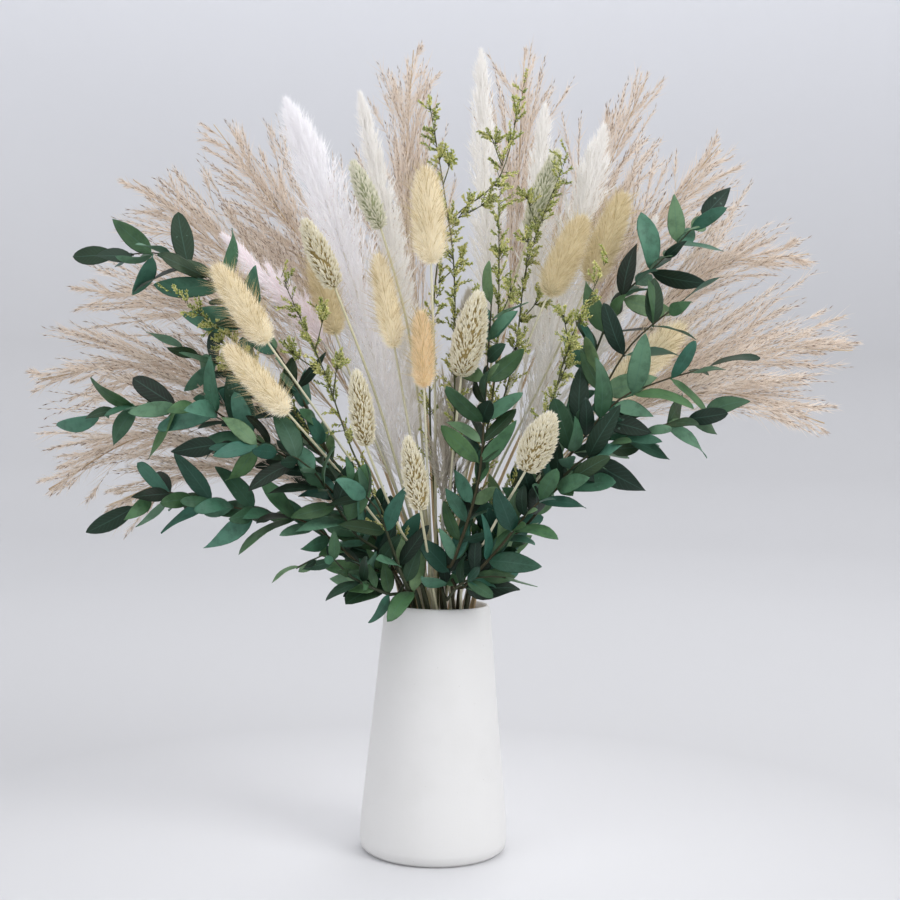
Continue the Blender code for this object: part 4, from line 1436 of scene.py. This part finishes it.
@dataclass
class CanaryGrass(HeadedGrass):
    """Canary grass: oval heads of small keeled papery scales in a spiral, on straw stalks."""

    kind = Kind.CANARY
    ending = "scaly"
    tones = {2: "green", 7: "green"}
    usual = "pale"
    outline: Line = (
        (0.05, 0.0), (0.50, 0.04), (0.80, 0.14), (0.97, 0.30), (1.0, 0.44), (0.90, 0.62),
        (0.70, 0.78), (0.42, 0.91), (0.05, 1.0),
    )
    cover_depth: float = 2.8
    cover_tip: float = 2.76
    core_turns: int = 14
    scales_per_mm2: float = 10.5
    scale_length: float = 4.6
    scale_width: float = 1.35
    scale_waist: float = 0.4
    highest: float = 0.98
    sunk: float = 0.93
    turn_spread: float = 0.3
    lean_along: Line = ((0.0, 75.0), (0.12, 46.0), (0.6, 34.0), (1.0, 12.0))
    lean_spread: float = math.radians(9)
    lengths: Pair = (0.75, 1.15)
    widths: Pair = (0.8, 1.2)

    @staticmethod
    def finishes() -> Finishes:
        """Straw-white and pale green heads: papery scales with pale points, and painted shade between them.
        """
        straw = StrawFinish("straw_stalk_papery", ("#d5d0ae", "#e3dfc4", "#ccc6a0"), grain="#aca278").build()
        heads = {
            "pale": (("#d6caa2", "#e5dcbc", "#f1ecd7"), "#fffbee", ("#94814f", "#a39261"), "#6c5c34"),
            "green": (("#c4c7a8", "#dadbc4", "#ecead9"), "#fffaec", ("#9aa07c", "#adb190"), "#848a62"),
        }
        found = {}
        for name, (colours, tip, core, shadow) in heads.items():
            # Painted shade: the core under the scales is coloured dark, for the shade between them.
            painted_gap_shade = PlantFinish(f"scale_shadow_{name}", core, grain=shadow, grain_mm=1.0, grain_share=0.5)
            scale = PlantFinish(
                f"papery_scale_{name}", colours, tip, tip_from=0.35, tip_share=0.95,
                grain="#a8a47a", grain_mm=1.3, roughness=0.75, painted_glow=0.03,
            )
            found[name] = [straw, painted_gap_shade.build(), scale.build()]
        return found

    def grow(self) -> None:
        """One head: stalk, core in painted shade, and slim pointed scales at golden-angle steps that lean
        outwards.
        """
        axis = self.add_core()
        count = round(self.scales_per_mm2 * self.stem.size**2)
        share = self.highest * (np.arange(count) + 0.5) / count
        turn = np.arange(count) * GOLDEN_ANGLE + self.about(self.turn_spread, count)
        root, out = self.surface(share, turn, self.sunk)
        lean = np.radians(on_line(share, self.lean_along)) + self.about(self.lean_spread, count)
        reach = self.scale_length * self.spans(self.lengths, count)
        width = self.scale_width * self.spans(self.widths, count)
        tips = root + circling(axis, out, lean) * reach[:, None]
        self.batch.spindles(root, tips, width, self.scale_waist, 2, self.shares(count))


@dataclass
class WhitePlume(Plant):
    """Bleached plumes: a thin stalk, side branches and the silky hairs that cover them."""

    kind = Kind.WHITE
    ending = "silky"
    # Plume 8's beige tone is painted shade, for the shade deep inside the bouquet.
    tones = {1: "cool", 6: "pink", 8: "beige"}
    usual = "dull"
    fuller = {1: 1.2, 4: 1.25, 5: 1.35, 6: 1.35, 8: 1.7}
    thinner = {2: 0.85, 3: 0.6, 4: 0.8, 5: 0.85, 7: 0.7}
    stalk_radii: Pair = (1.5, 0.35)
    below: float = 28.0
    first_branch: float = 1.0
    branch_step: float = 0.62
    branch_length: float = 2.1
    tip_length: float = 4.0
    tip_growth: float = 0.58
    branch_lengths: Pair = (0.7, 1.0)
    turn_spread: float = 0.5
    forward: float = 0.9
    spread: float = 0.92
    taper: float = 40.0
    tip_half: float = 0.7
    steepest: float = 0.75
    outer_branches: float = 0.36
    hairs: int = 24
    outer_hairs: float = 0.7
    hair_leans: Pair = (4.0, 32.0)
    near_hairs: float = 1.4
    hair_share: float = 0.30
    hair_least: float = 5.5
    hair_lengths: Pair = (0.5, 1.3)
    length_back: Line = ((0.0, 0.6), (30.0, 1.0))
    hair_width: float = 0.62
    width_back: Line = ((0.0, 0.5), (50.0, 1.0))
    # painted shade: how much darker the hairs are by the share of the way back from the tip
    shadow_back: Line = ((0.0, 0.0), (0.5, 0.1), (1.0, 1.0))
    branch_tone: float = 0.2
    hair_tone: float = 0.3

    @staticmethod
    def finishes() -> Finishes:
        """Bleached silk in cool or duller white, painted beige as shade low down; one tinged pink, one all
        painted shade.
        """
        stalk = PlantFinish("bleached_stalk", ("#e2ddd2", "#eeeae0"), grain="#c8bfae", roughness=0.7).build()
        tones = {
            "cool": (("#cfc6b8", "#ece8e6", "#f8f6f9", "#fcfbfd"), "#ffffff", 0.09),
            "dull": (("#cec6b9", "#e8e4de", "#f2efeb", "#f6f4f1"), "#f8f7f4", 0.09),
            "pink": (("#e2d0d2", "#efe2e6", "#f5ecef", "#fbf4f6"), "#ffffff", 0.13),
            # painted shade: plume 8's silk is beige-grey and has no glow, for the shade deep in the bouquet
            "beige": (("#bdb3a2", "#cdc4b5", "#d9d2c5", "#e2dcd1"), "#e9e4da", 0.0),
        }
        return {
            name: [stalk, PlantFinish(
                f"bleached_silk_{name}", colours, tip, tip_from=0.2, tip_share=0.5,
                roughness=0.9, painted_glow=painted_glow,
            ).build()]
            for name, (colours, tip, painted_glow) in tones.items()
        }

    def grow(self) -> None:
        """One plume: branches leave the stalk at golden-angle steps and hairs leave the branches.

        A branch leans just so far that it ends within the plume's half width there, which is its
        greatest half width times 1 less e to the power of minus the way from the tip over the taper.
        """
        widest = self.stem.size * self.fuller.get(self.stem.number, 1.0)
        hairs = round(self.hairs * self.thinner.get(self.stem.number, 1.0))
        path = self.add_stalk()
        reach = self.plan.plume_reach(self.stem) + self.below
        back = np.arange(self.first_branch, reach, self.branch_step)
        count = len(back)
        root, tangent = along_path(path, back)
        turn = np.arange(count) * GOLDEN_ANGLE + self.about(self.turn_spread, count)
        length = np.minimum(widest * self.branch_length, self.tip_length + back * self.tip_growth)
        length = length * self.spans(self.branch_lengths, count)
        ends = np.maximum(back - length * self.forward, 0)
        half = widest * self.spread * (1 - np.exp(-ends / self.taper)) + self.tip_half
        aside = half * self.shares(count) ** self.outer_branches
        way = leaned(tangent, turn, np.arcsin(np.minimum(self.steepest, aside / length)))
        share = self.shares(count, hairs) ** self.outer_hairs
        roots = (root[:, None] + (way * length[:, None])[:, None] * share[..., None]).reshape(-1, 3)
        total = len(roots)
        lean = np.radians(between(self.shares(total) ** self.near_hairs, self.hair_leans))
        strand = leaned(np.repeat(way, hairs, axis=0), self.turns(total), lean)
        size = self.hair_least + self.stem.size * self.hair_share * self.spans(self.hair_lengths, total)
        size = np.repeat(on_line(back, self.length_back), hairs) * size
        # Painted shade: the hairs darken towards the plume's base, deep inside the bouquet.
        light = 1 - np.repeat(on_line(back / reach, self.shadow_back), hairs)
        shade = np.repeat(self.shares(count), hairs) * self.branch_tone + self.shares(total) * self.hair_tone
        shade = shade + (1 - self.branch_tone - self.hair_tone) * light
        width = self.hair_width * np.repeat(on_line(back, self.width_back), hairs)
        self.batch.hairs(roots, roots + strand * size[:, None], width, 1, shade)


@dataclass(frozen=True)
class Strands:
    """Rows of quadratic curves: the three points that give each one, and its length."""

    start: Array
    middle: Array
    end: Array
    length: Array

    def some(self, rows: Array) -> Strands:
        """The strands of these rows."""
        return Strands(self.start[rows], self.middle[rows], self.end[rows], self.length[rows])

    def points(self, share: Array) -> Array:
        """A point on each strand: its three points, weighed by the share of the way along it."""
        t = share[:, None]
        return self.start * (1 - t) ** 2 + 2 * self.middle * t * (1 - t) + self.end * t**2

    def headings(self, share: Array) -> Array:
        """The direction of each strand at the share of the way along it."""
        t = share[:, None]
        return unit((self.middle - self.start) * (1 - t) + (self.end - self.middle) * t)

    def paths(self, rings: int) -> Array:
        """Points along every strand, shaped (strands, rings, 3)."""
        return np.stack([self.points(np.array([t])) for t in np.linspace(0, 1, rings)], axis=1)


@dataclass
class ReedPlume(Plant):
    """Reed plumes: sheaves of narrow arching tufts with small spikelets, in a haze of silky hairs."""

    kind = Kind.REED
    ending = "strands"
    fuller = {1: 1.3, 2: 1.3, 8: 1.15}
    lowest = (-292.0, -104.0, 0.0)
    highest = (296.0, 136.0, 592.0)
    stalk_radii: Pair = (1.4, 0.35)
    strands_per_mm: float = 1.22
    deepest: float = 1.5
    depths: Pair = (0.04, 1.0)
    tip_crowding: float = 0.72
    longest: float = 140.0
    past_tip: float = 10.0
    lengths: Pair = (0.45, 0.95)
    spread: float = 2.15
    outer_strands: float = 0.6
    steepest: float = 0.74
    flattening: float = 0.65
    bending: float = 0.3
    droop: float = 0.0008
    rings: int = 4
    strand_radii: Pair = (0.18, 0.09)
    strands_in_tuft: int = 3
    tuft_half: float = 5.0
    tuft_halves: Pair = (0.3, 1.0)
    tuft_taper: Pair = (1.15, 0.15)
    tuft_fan: float = 1.3
    latest_leave: float = 0.75
    tuft_reaches: Pair = (0.45, 1.0)
    spikelets_from: float = 0.46
    fewest_spikelets: int = 3
    spikelet_step: float = 4.9
    spikelet_jitter: float = 0.4
    spikelet_turn: float = 0.6
    spikelet_leans: Pair = (7.0, 21.0)
    spikelet_length: float = 4.2
    spikelet_width: float = 0.66
    spikelet_sizes: Pair = (0.7, 1.3)
    spikelet_waist: float = 0.35
    spikelet_tones: Triple = (0.45, 0.35, 0.6)
    silk_per_strand: int = 16
    silk_from: Pair = (0.08, 0.92)
    silk_leans: Pair = (6.0, 38.0)
    silk_length: float = 25.0
    silk_lengths: Pair = (0.6, 1.2)
    silk_taper: Pair = (1.2, 0.45)
    silk_width: float = 0.52
    full_silk: float = 60.0
    least_silk: float = 0.3

    @staticmethod
    def finishes() -> Finishes:
        """Sun-dried reed: beige stalk and strands, rose-brown spikelets and pale silk."""
        stalk = StrawFinish(
            "dried_reed_stalk", ("#c2a987", "#d3bf9f", "#b89c7a"), grain="#9a7f5f", grain_mm=1.5
        )
        strand = PlantFinish(
            "dried_reed_strand", ("#b9a590", "#cbb9a5", "#dccdbb"), roughness=0.7, painted_glow=0.03
        )
        spikelet = PlantFinish(
            "dried_reed_spikelet", ("#6d5a50", "#877266", "#a08d7e", "#b8a696", "#cfbfae"),
            tip="#d8c9b9", tip_from=0.6, tip_share=0.35, roughness=0.8,
        )
        silk = PlantFinish(
            "reed_silk", ("#d8c8b8", "#e2d3c4", "#ece0d3"), tip="#f0e6db", tip_share=0.5, painted_glow=0.08
        )
        return {"usual": [finish.build() for finish in (stalk, strand, spikelet, silk)]}

    def grow(self) -> None:
        """One plume: stalk, tufts of strands, and on them spikelets and silk."""
        path = self.add_stalk()
        strands = self._tufts(self._first_strands(path))
        radii = np.linspace(*self.strand_radii, self.rings)
        self.batch.tubes(strands.paths(self.rings), radii, 3, 1, self.shares(len(strands.length)))
        self._add_spikelets(strands)
        self._add_silk(strands)

    def _first_strands(self, path: Array) -> Strands:
        """The first strand of each tuft. Tufts that would leave the box of the solids aren't made.

        It is the quadratic curve from its root, by a middle point out along its lean, to a tip on the
        stalk's own way, which sags with the square of the strand's length.

        Args:
            path: the stalk's path.

        Returns:
            The strands.
        """
        reach = self.plan.plume_reach(self.stem)
        fuller = self.fuller.get(self.stem.number, 1.0)
        count = round(reach * self.strands_per_mm * fuller / self.strands_in_tuft)
        order = (np.arange(count) + self.shares(count)) / count
        back = reach * self.deepest * between(order**self.tip_crowding, self.depths)
        roots, tangent = along_path(path, back)
        length = np.minimum(self.longest, back * self.spans(self.lengths, count) + self.past_tip)
        aside = self.stem.size * self.spread * fuller * self.shares(count) ** self.outer_strands
        lean = np.arcsin(np.minimum(self.steepest * self.shares(count) ** 0.5, aside / length))
        way = leaned(tangent, self.turns(count), lean)
        way = unit(tangent + (way - tangent) * np.array((1.0, self.flattening, 1.0)))
        half = length[:, None] / 2
        middle = roots + way * half
        onward = unit(way * (1 - self.bending) + tangent * self.bending)
        ends = middle + onward * half - UP * self.droop * length[:, None] ** 2
        inside = ((ends > self.lowest) & (ends < self.highest)).all(axis=1)
        return Strands(roots, middle, ends, length).some(inside)

    def _tufts(self, strands: Strands) -> Strands:
        """Makes each strand a tuft: others leave it and run beside it, nearer to it the further out they end.

        Args:
            strands: the first strand of each tuft.

        Returns:
            All the strands.
        """
        first = np.repeat(np.arange(len(strands.length)), self.strands_in_tuft - 1)
        count = len(first)
        own = strands.some(first)
        leave = self.latest_leave * self.shares(count)
        reach = leave + (1 - leave) * self.spans(self.tuft_reaches, count)
        away = leaned(own.headings(leave), self.turns(count), np.full(count, math.pi / 2))
        half = self.tuft_half * self.spans(self.tuft_halves, count) * between(reach, self.tuft_taper)
        away = away * half[:, None]
        return Strands(
            np.vstack([strands.start, own.points(leave)]),
            np.vstack([strands.middle, own.points((leave + reach) / 2) + away]),
            np.vstack([strands.end, own.points(reach) + away * self.tuft_fan]),
            np.concatenate([strands.length, own.length * (reach - leave)]),
        )

    def _add_spikelets(self, strands: Strands) -> None:
        """Adds spikelets at even steps, to one side and the other, lighter towards a strand's root.

        Args:
            strands: the plume's strands.
        """
        span = strands.length * (1 - self.spikelets_from)
        number = np.maximum(self.fewest_spikelets, (span / self.spikelet_step).astype(int))
        strand = np.repeat(np.arange(len(number)), number)
        count = len(strand)
        order = np.arange(count) - np.repeat(np.cumsum(number) - number, number)
        share = (order + self.spikelet_jitter * self.shares(count)) / number[strand]
        share = between(share, (self.spikelets_from, 1.0))
        own = strands.some(strand)
        turn = order * math.pi + self.about(self.spikelet_turn, count)
        way = leaned(own.headings(share), turn, np.radians(self.spans(self.spikelet_leans, count)))
        size = self.spikelet_length * self.spans(self.spikelet_sizes, count)
        width = self.spikelet_width * self.spans(self.spikelet_sizes, count)
        by_strand, by_one, by_root = self.spikelet_tones
        tone = by_strand * self.shares(len(number))[strand] + by_one * self.shares(count)
        tone = np.clip(tone + by_root * (1 - share), 0, 1)
        at = own.points(share)
        self.batch.spindles(at, at + way * size[:, None], width, self.spikelet_waist, 2, tone)

    def _add_silk(self, strands: Strands) -> None:
        """Adds silky hairs along the strands, shorter towards a strand's tip and on short strands.

        Args:
            strands: the plume's strands.
        """
        own = strands.some(np.repeat(np.arange(len(strands.length)), self.silk_per_strand))
        count = len(own.length)
        share = self.spans(self.silk_from, count)
        way = leaned(own.headings(share), self.turns(count), np.radians(self.spans(self.silk_leans, count)))
        size = self.silk_length * self.spans(self.silk_lengths, count) * between(share, self.silk_taper)
        size = size * np.clip(own.length / self.full_silk, self.least_silk, 1.0)
        at = own.points(share)
        self.batch.hairs(at, at + way * size[:, None], self.silk_width, 3, self.shares(count))


@dataclass
class LimoniumSpray(Plant):
    """Limonium: dark wiry twigs with crowded small florets, round the solid's buds."""

    kind = Kind.LIMONIUM
    ending = "florets"
    stalk_radii: Pair = (0.95, 0.35)
    stalk_turns: int = 5
    twig_rings: int = 5
    twig_radii: Pair = (0.5, 0.3)
    twig_sag: float = 2.5
    twiglets: int = 8
    twiglet_radii: Triple = (0.3, 0.25, 0.18)
    twiglet_lengths: Pair = (0.6, 1.1)
    twiglet_lean: float = math.radians(48)
    shift: float = 7.0
    on_stalk: float = 4.0
    low_twiglets: int = 26
    low_reach: float = 115.0
    low_length: float = 15.0
    low_lengths: Pair = (0.6, 1.4)
    low_leans: Pair = (25.0, 55.0)
    florets: int = 22
    florets_from: float = 0.2
    floret_leans: Pair = (18.0, 52.0)
    floret_length: float = 2.4
    floret_lengths: Pair = (0.65, 1.25)
    floret_width: float = 1.2
    floret_widths: Pair = (0.7, 1.2)
    floret_waist: float = 0.6
    floret_tones: Pair = (0.55, 0.5)

    @staticmethod
    def finishes() -> Finishes:
        """Dried limonium: brown-green wire and florets from moss green to straw yellow."""
        wire = PlantFinish(
            "limonium_wire", ("#4c5238", "#626544"), grain="#383a24", grain_mm=1.0, roughness=0.7
        )
        floret = PlantFinish(
            "limonium_floret", ("#3a4c1e", "#64792f", "#93a148", "#bbbd66", "#dfd993"),
            tip="#f2edc2", tip_from=0.5, tip_share=0.75, roughness=0.8, painted_glow=0.03,
        )
        return {"usual": [wire.build(), floret.build()]}

    def grow(self) -> None:
        """One spray: stalk and twigs, then wire twiglets round each bud, with florets crowded along them."""
        path = self.add_stalk()
        if self.plan.twigs[self.stem.name]:
            self._add_twigs(np.array(self.plan.twigs[self.stem.name]))
        roots, ways = self._twiglets(path)
        count = len(roots)
        t = np.linspace(0, 1, len(self.twiglet_radii))[:, None]
        paths = roots[:, None] + ways[:, None] * t
        self.batch.tubes(paths, np.array(self.twiglet_radii), 3, 0, self.shares(count))
        owner = np.repeat(np.arange(count), self.florets)
        total = len(owner)
        at = roots[owner] + ways[owner] * self.spans((self.florets_from, 1.0), total)[:, None]
        way = unit(ways)[owner]
        strand = leaned(way, self.turns(total), np.radians(self.spans(self.floret_leans, total)))
        size = self.floret_length * self.spans(self.floret_lengths, total)
        by_twiglet, by_one = self.floret_tones
        tone = np.clip(by_twiglet * self.shares(count)[owner] + by_one * self.shares(total), 0, 1)
        width = self.floret_width * self.spans(self.floret_widths, total)
        self.batch.spindles(at, at + strand * size[:, None], width, self.floret_waist, 1, tone)

    def _add_twigs(self, ends: Array) -> None:
        """Adds twigs from root to tip, which sag between them by a parabola.

        Args:
            ends: the root and the tip of each.
        """
        t = np.linspace(0, 1, self.twig_rings)[:, None]
        paths = ends[:, :1] + (ends[:, 1:] - ends[:, :1]) * t + UP * self.twig_sag * t * (t - 1)
        self.batch.tubes(paths, np.linspace(*self.twig_radii, self.twig_rings), 4, 0, self.shares(len(ends)))

    def _twiglets(self, path: Array) -> tuple[Array, Array]:
        """Twiglets round each of the solid's buds, moved a little, and lower ones on the stalk.

        Args:
            path: the stalk's path.

        Returns:
            Their roots and the ways from there to their tips.
        """
        ends = np.repeat(np.array(self.plan.spikes[self.stem.name]), self.twiglets, axis=0)
        roots, bud = ends[:, 0], ends[:, 1] - ends[:, 0]
        count = len(roots)
        nearest = np.linalg.norm(path[None] - roots[:, None], axis=2)
        tangent = unit(np.gradient(path, axis=0))[nearest.argmin(axis=1)]
        shift = self.about(self.shift, count) * (nearest.min(axis=1) < self.on_stalk)
        way = leaned(unit(bud), self.turns(count), self.twiglet_lean * self.shares(count))
        reach = np.linalg.norm(bud, axis=1) * self.spans(self.twiglet_lengths, count)
        low_back = self.plan.plume_reach(self.stem) + self.low_reach * self.shares(self.low_twiglets)
        low, low_heading = along_path(path, low_back)
        low_way = leaned(low_heading, self.turns(len(low)), np.radians(self.spans(self.low_leans, len(low))))
        low_reach = self.low_length * self.spans(self.low_lengths, len(low))
        roots = np.vstack([roots + tangent * shift[:, None], low])
        return roots, np.vstack([way * reach[:, None], low_way * low_reach[:, None]])


@dataclass
class EucalyptusSpray(Plant):
    """Preserved eucalyptus: opposite pairs of dyed leaves on brown-green wire-thin twigs."""

    kind = Kind.EUCALYPTUS
    ending = "leafy"
    stalk_radii: Pair = (1.3, 0.5)
    stalk_turns: int = 6
    stations: int = 11
    end_crowding: float = 0.6
    columns: tuple[float, ...] = (1.0, 0.86, 0.0, -0.86, -1.0)
    thickness: float = 0.45
    petiole: float = 0.07
    petiole_half: Pair = (0.018, 0.004)
    base_power: float = 0.55
    tip_powers: Pair = (0.5, 1.0)
    breadths: Pair = (0.72, 1.06)
    arches: Pair = (-0.3, 2.1)
    fold: float = 0.16
    folds: Pair = (0.4, 1.4)
    twist: float = math.radians(20)
    tip_twist: float = math.radians(24)
    wave: float = 0.012
    wave_pitch: float = 9.0
    wave_start: float = 6.3
    hook: float = 0.05

    @staticmethod
    def finishes() -> Finishes:
        """Dyed leaves from dark spruce to teal, every other one olive, and woody twigs."""
        twig = PlantFinish(
            "eucalyptus_twig", ("#3d3a2a", "#4a4632", "#3a4534"),
            grain="#2a271b", grain_mm=1.4, roughness=0.65,
        )
        leaf = LeafFinish(
            "eucalyptus_leaf_dyed",
            (
                "#0e1a0c", "#142e22", "#2a4022", "#245044", "#3e5c36", "#356858", "#507446", "#4f806c",
                "#708c60",
            ),
            vein="#4a7263", underside="#5f7f6e", mottle="#16301f",
        )
        return {"usual": [twig.build(), leaf.build()]}

    def grow(self) -> None:
        """One spray: its twig, and every leaf as a closed, folded and arched blade.

        At the share u along a leaf the half width is u to the power for its base times (1 - u) to that for
        its tip, scaled to the leaf's breadth; the blade rises by its arch times 4 u (1 - u) and by its fold
        times the way from the midrib, and twists towards its tip. The two faces lie half the thickness
        from there.
        """
        self.add_stalk()
        leaves = self.plan.leaves[self.stem.name] + self.plan.infill[self.stem.name]
        count = len(leaves)
        root, along, across = (
            np.array([getattr(leaf, part) for leaf in leaves])[:, None, None]
            for part in ("root", "along", "across")
        )
        length = np.array([leaf.length for leaf in leaves])[:, None, None, None]
        normal = np.cross(along, across)
        t = np.linspace(0, 1, self.stations)
        u = t + ((1 - np.cos(math.pi * t)) / 2 - t) * self.end_crowding
        outline = self._outline(u, count)[:, :, None, None]
        edge = np.array(self.columns)
        back = edge[-2:0:-1]
        side = np.concatenate([edge, back])
        upper = np.concatenate([np.ones(len(edge)), np.zeros(len(back))])
        lift = np.concatenate([1 - edge**4, back**4 - 1]) * self.thickness / 2
        u = u[None, :, None, None]
        v = side[None, None, :, None]
        each = (count, 1, 1, 1)
        arch = LEAF_ARCH * self.spans(self.arches, *each)
        fold = self.fold * self.spans(self.folds, *each)
        twist = self.about(self.twist, *each) + self.about(self.tip_twist, *each) * u**2
        wave = self.wave * np.sin(u * self.wave_pitch + self.shares(*each) * self.wave_start) * v
        hook = self.about(self.hook, *each) * u**2
        turned_side = across * np.cos(twist) + normal * np.sin(twist)
        turned_up = normal * np.cos(twist) - across * np.sin(twist)
        rise = arch * 4 * u * (1 - u) + fold * np.abs(v) * outline + wave
        surface = root + length * (along * u + turned_side * (v * outline) + across * hook + turned_up * rise)
        rings = surface + turned_up * lift[None, None, :, None]
        self.batch.loft(rings, 1, self.shares(count), across=side, face=upper)

    def _outline(self, u: Array, count: int) -> Array:
        """The half width of every leaf at the shares u along it, as a share of its length.

        Args:
            u: the shares along a leaf.
            count: how many leaves there are.

        Returns:
            The half widths, shaped (leaves, shares).
        """
        blade = np.clip((u - self.petiole) / (1 - self.petiole), 0, 1)
        outline = blade**self.base_power * (1 - blade) ** self.spans(self.tip_powers, count, 1)
        outline = outline / outline.max(axis=1, keepdims=True) * LEAF_BREADTH / 2
        outline = outline * self.spans(self.breadths, count, 1)
        return np.maximum(outline, between(u, self.petiole_half))


def carried_round(profile: Array, turns: int) -> Array:
    """Rings round the upright axis: for each radius and height of the profile, the circle of that radius."""
    circle = circling(ACROSS, DEPTH, shared_turn(turns))
    return circle * profile[:, :1, None] + UP * profile[:, 1:, None]


@dataclass
class Vase:
    """The tapered vase: an outer wall, a thin rounded lip, an inner wall and a flat foot."""

    turns: int = 120
    outside: Line = (
        (46.0, 0.0), (47.6, 0.35), (48.9, 1.5), (49.8, 3.6), (50.3, 7.0), (50.35, 11.0), (50.1, 17.0),
        (49.3, 28.0), (47.9, 43.0), (46.6, 57.0), (45.2, 71.0), (43.7, 86.0), (42.3, 101.0), (40.8, 117.0),
        (39.4, 133.0), (37.9, 149.0), (36.7, 162.0),
    )
    outside_rings: int = 34
    lip_rings: int = 10
    wall: float = 4.5
    inside_heights: tuple[float, ...] = (160.0, 140.0, 112.0, 84.0, 56.0, 34.0, 18.0, 10.0)
    inside_rounding: float = 1.5
    floor_radius: float = 41.0
    floor_rounding: Pair = (4.0, 0.6)

    def profile(self) -> Array:
        """Radii and heights up the outside, over the lip's half round and down the inside to the floor."""
        outside = np.array(self.outside)
        run = way_run(outside)
        fine = np.linspace(0, run[-1], self.outside_rings)
        slopes = np.gradient(outside, run, axis=0)
        leg = np.clip(np.searchsorted(run, fine, side="right") - 1, 0, len(run) - 2)
        gap = (run[leg + 1] - run[leg])[:, None]
        t = (fine - run[leg])[:, None] / gap
        outer = cubic(outside[leg], outside[leg + 1], slopes[leg] * gap, slopes[leg + 1] * gap, t)
        radius, height = outer[-1]
        angle = np.linspace(0, math.pi, self.lip_rings + 1)[1:]
        half = self.wall / 2
        lip = np.column_stack([
            radius - half + half * np.cos(angle), height + (VASE_HEIGHT - height) * np.sin(angle)
        ])
        heights = np.array(self.inside_heights)
        inner = np.column_stack([np.interp(heights, outer[:, 1], outer[:, 0]) - self.wall, heights])
        inner[-1, 0] -= self.inside_rounding
        inward, rise = self.floor_rounding
        bottom = ((self.floor_radius, VASE_FLOOR + rise), (self.floor_radius - inward, VASE_FLOOR))
        return np.vstack([outer, lip, inner, bottom])

    def build(self) -> None:
        """Builds the vase: the profile carried once round, with a flat disc at the foot and on the floor."""
        stoneware = CeramicFinish("stoneware_matte_white", body="#e2e1df", cloud="#d9d8d5", speck="#aaa69f")
        batch = Batch()
        batch.loft(carried_round(self.profile(), self.turns)[None], 0, np.array([0.5]))
        batch.piece("vase_stoneware", [stoneware.build()], "vase", "vase")


@dataclass(frozen=True)
class Lamp:
    """A square soft light: its place and width in metres and its power in watts."""

    name: str
    place: Triple
    width: float
    power: float

    def build(self, aim: Vector) -> None:
        """Makes the light, turned to what it is aimed at."""
        light = bpy.data.lights.new(self.name, "AREA")
        light.size, light.energy = self.width, self.power
        holder = bpy.data.objects.new(self.name, light)
        holder.location = self.place
        holder.rotation_mode = "QUATERNION"
        holder.rotation_quaternion = (aim - Vector(self.place)).to_track_quat("-Z", "Y")
        bpy.context.scene.collection.objects.link(holder)


@dataclass
class Studio:
    """The pale floor, the soft lights and the camera."""

    floor_profile_m: Line = (
        (1.2, 0.0), (1.9, 0.0), (2.4, 0.04), (2.8, 0.2), (3.1, 0.6), (3.2, 1.2), (3.25, 3.6),
    )
    floor_turns: int = 64
    lamps: tuple[Lamp, ...] = (
        Lamp("key", (1.7, -1.3, 1.5), 1.2, 26.0),
        Lamp("fill", (-1.8, -1.5, 1.2), 1.8, 9.0),
        Lamp("back", (0.6, 1.9, 1.9), 1.6, 12.0),
    )
    aim_m: Triple = (0.0, 0.0, 0.3)
    daylight: str = "#f4f5f7"
    daylight_strength: float = 1.4
    focal_px: float = 1345.0
    picture_px: float = 900.0
    horizon_px: float = 442.0
    camera_mm: Triple = (6.5, -928.0, 279.5)
    roll: float = math.radians(-1.1)
    sensor_mm: float = 36.0

    def build(self) -> None:
        """Builds floor, lights, an even pale world and the camera."""
        self._floor()
        for lamp in self.lamps:
            lamp.build(Vector(self.aim_m))
        self._daylight()
        self._camera()

    def _floor(self) -> None:
        """A floor that sweeps up into a backdrop: a disc and a profile carried round the object."""
        profile, turns = np.array(self.floor_profile_m), self.floor_turns
        points = carried_round(profile, turns).reshape(-1, 3)
        ring, turn = np.indices((len(profile) - 1, turns))
        here, beside = ring * turns + turn, ring * turns + (turn + 1) % turns
        quads = np.stack([here, here + turns, beside + turns, beside], -1).reshape(-1, 4)
        mesh = bpy.data.meshes.new("studio_floor")
        mesh.from_pydata(points.tolist(), [], [*quads.tolist(), list(range(turns))])
        mesh.shade_smooth()
        mesh.materials.append(BoardFinish("painted_board_white").build())
        floor = bpy.data.objects.new("studio_floor", mesh)
        bpy.context.scene.collection.objects.link(floor)

    def _daylight(self) -> None:
        """An even pale world, shown without a film's curve."""
        world = bpy.data.worlds.new("soft_daylight")
        world.use_nodes = True
        background = world.node_tree.nodes["Background"]
        background.inputs["Color"].default_value = linear(self.daylight)
        background.inputs["Strength"].default_value = self.daylight_strength
        bpy.context.scene.world = world
        bpy.context.scene.view_settings.view_transform = "Standard"

    def _camera(self) -> None:
        """The camera at the photograph's height and distance, with its slight roll and small shift."""
        data = bpy.data.cameras.new("camera")
        data.sensor_width = self.sensor_mm
        data.lens = self.sensor_mm * self.focal_px / self.picture_px
        data.shift_y = (self.horizon_px - self.picture_px / 2) / self.picture_px
        camera = bpy.data.objects.new("camera", data)
        camera.location = Vector(self.camera_mm) * MM
        camera.rotation_euler = (math.pi / 2, self.roll, 0)
        bpy.context.scene.collection.objects.link(camera)
        bpy.context.scene.camera = camera


def main() -> None:
    """Loads the frame, works out the plan and builds every piece over it."""
    logging.basicConfig(level=logging.INFO, format="%(message)s")
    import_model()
    plan = Plan()
    plan.work_out()
    LOG.info("plan: %d stems, %d leaves", len(plan.stems), sum(map(len, plan.leaves.values())))
    Vase().build()
    for plant in (BunnyTail, CanaryGrass, WhitePlume, ReedPlume, LimoniumSpray, EucalyptusSpray):
        plant.build_all(plan)
    Studio().build()


if __name__ == "__main__":
    main()
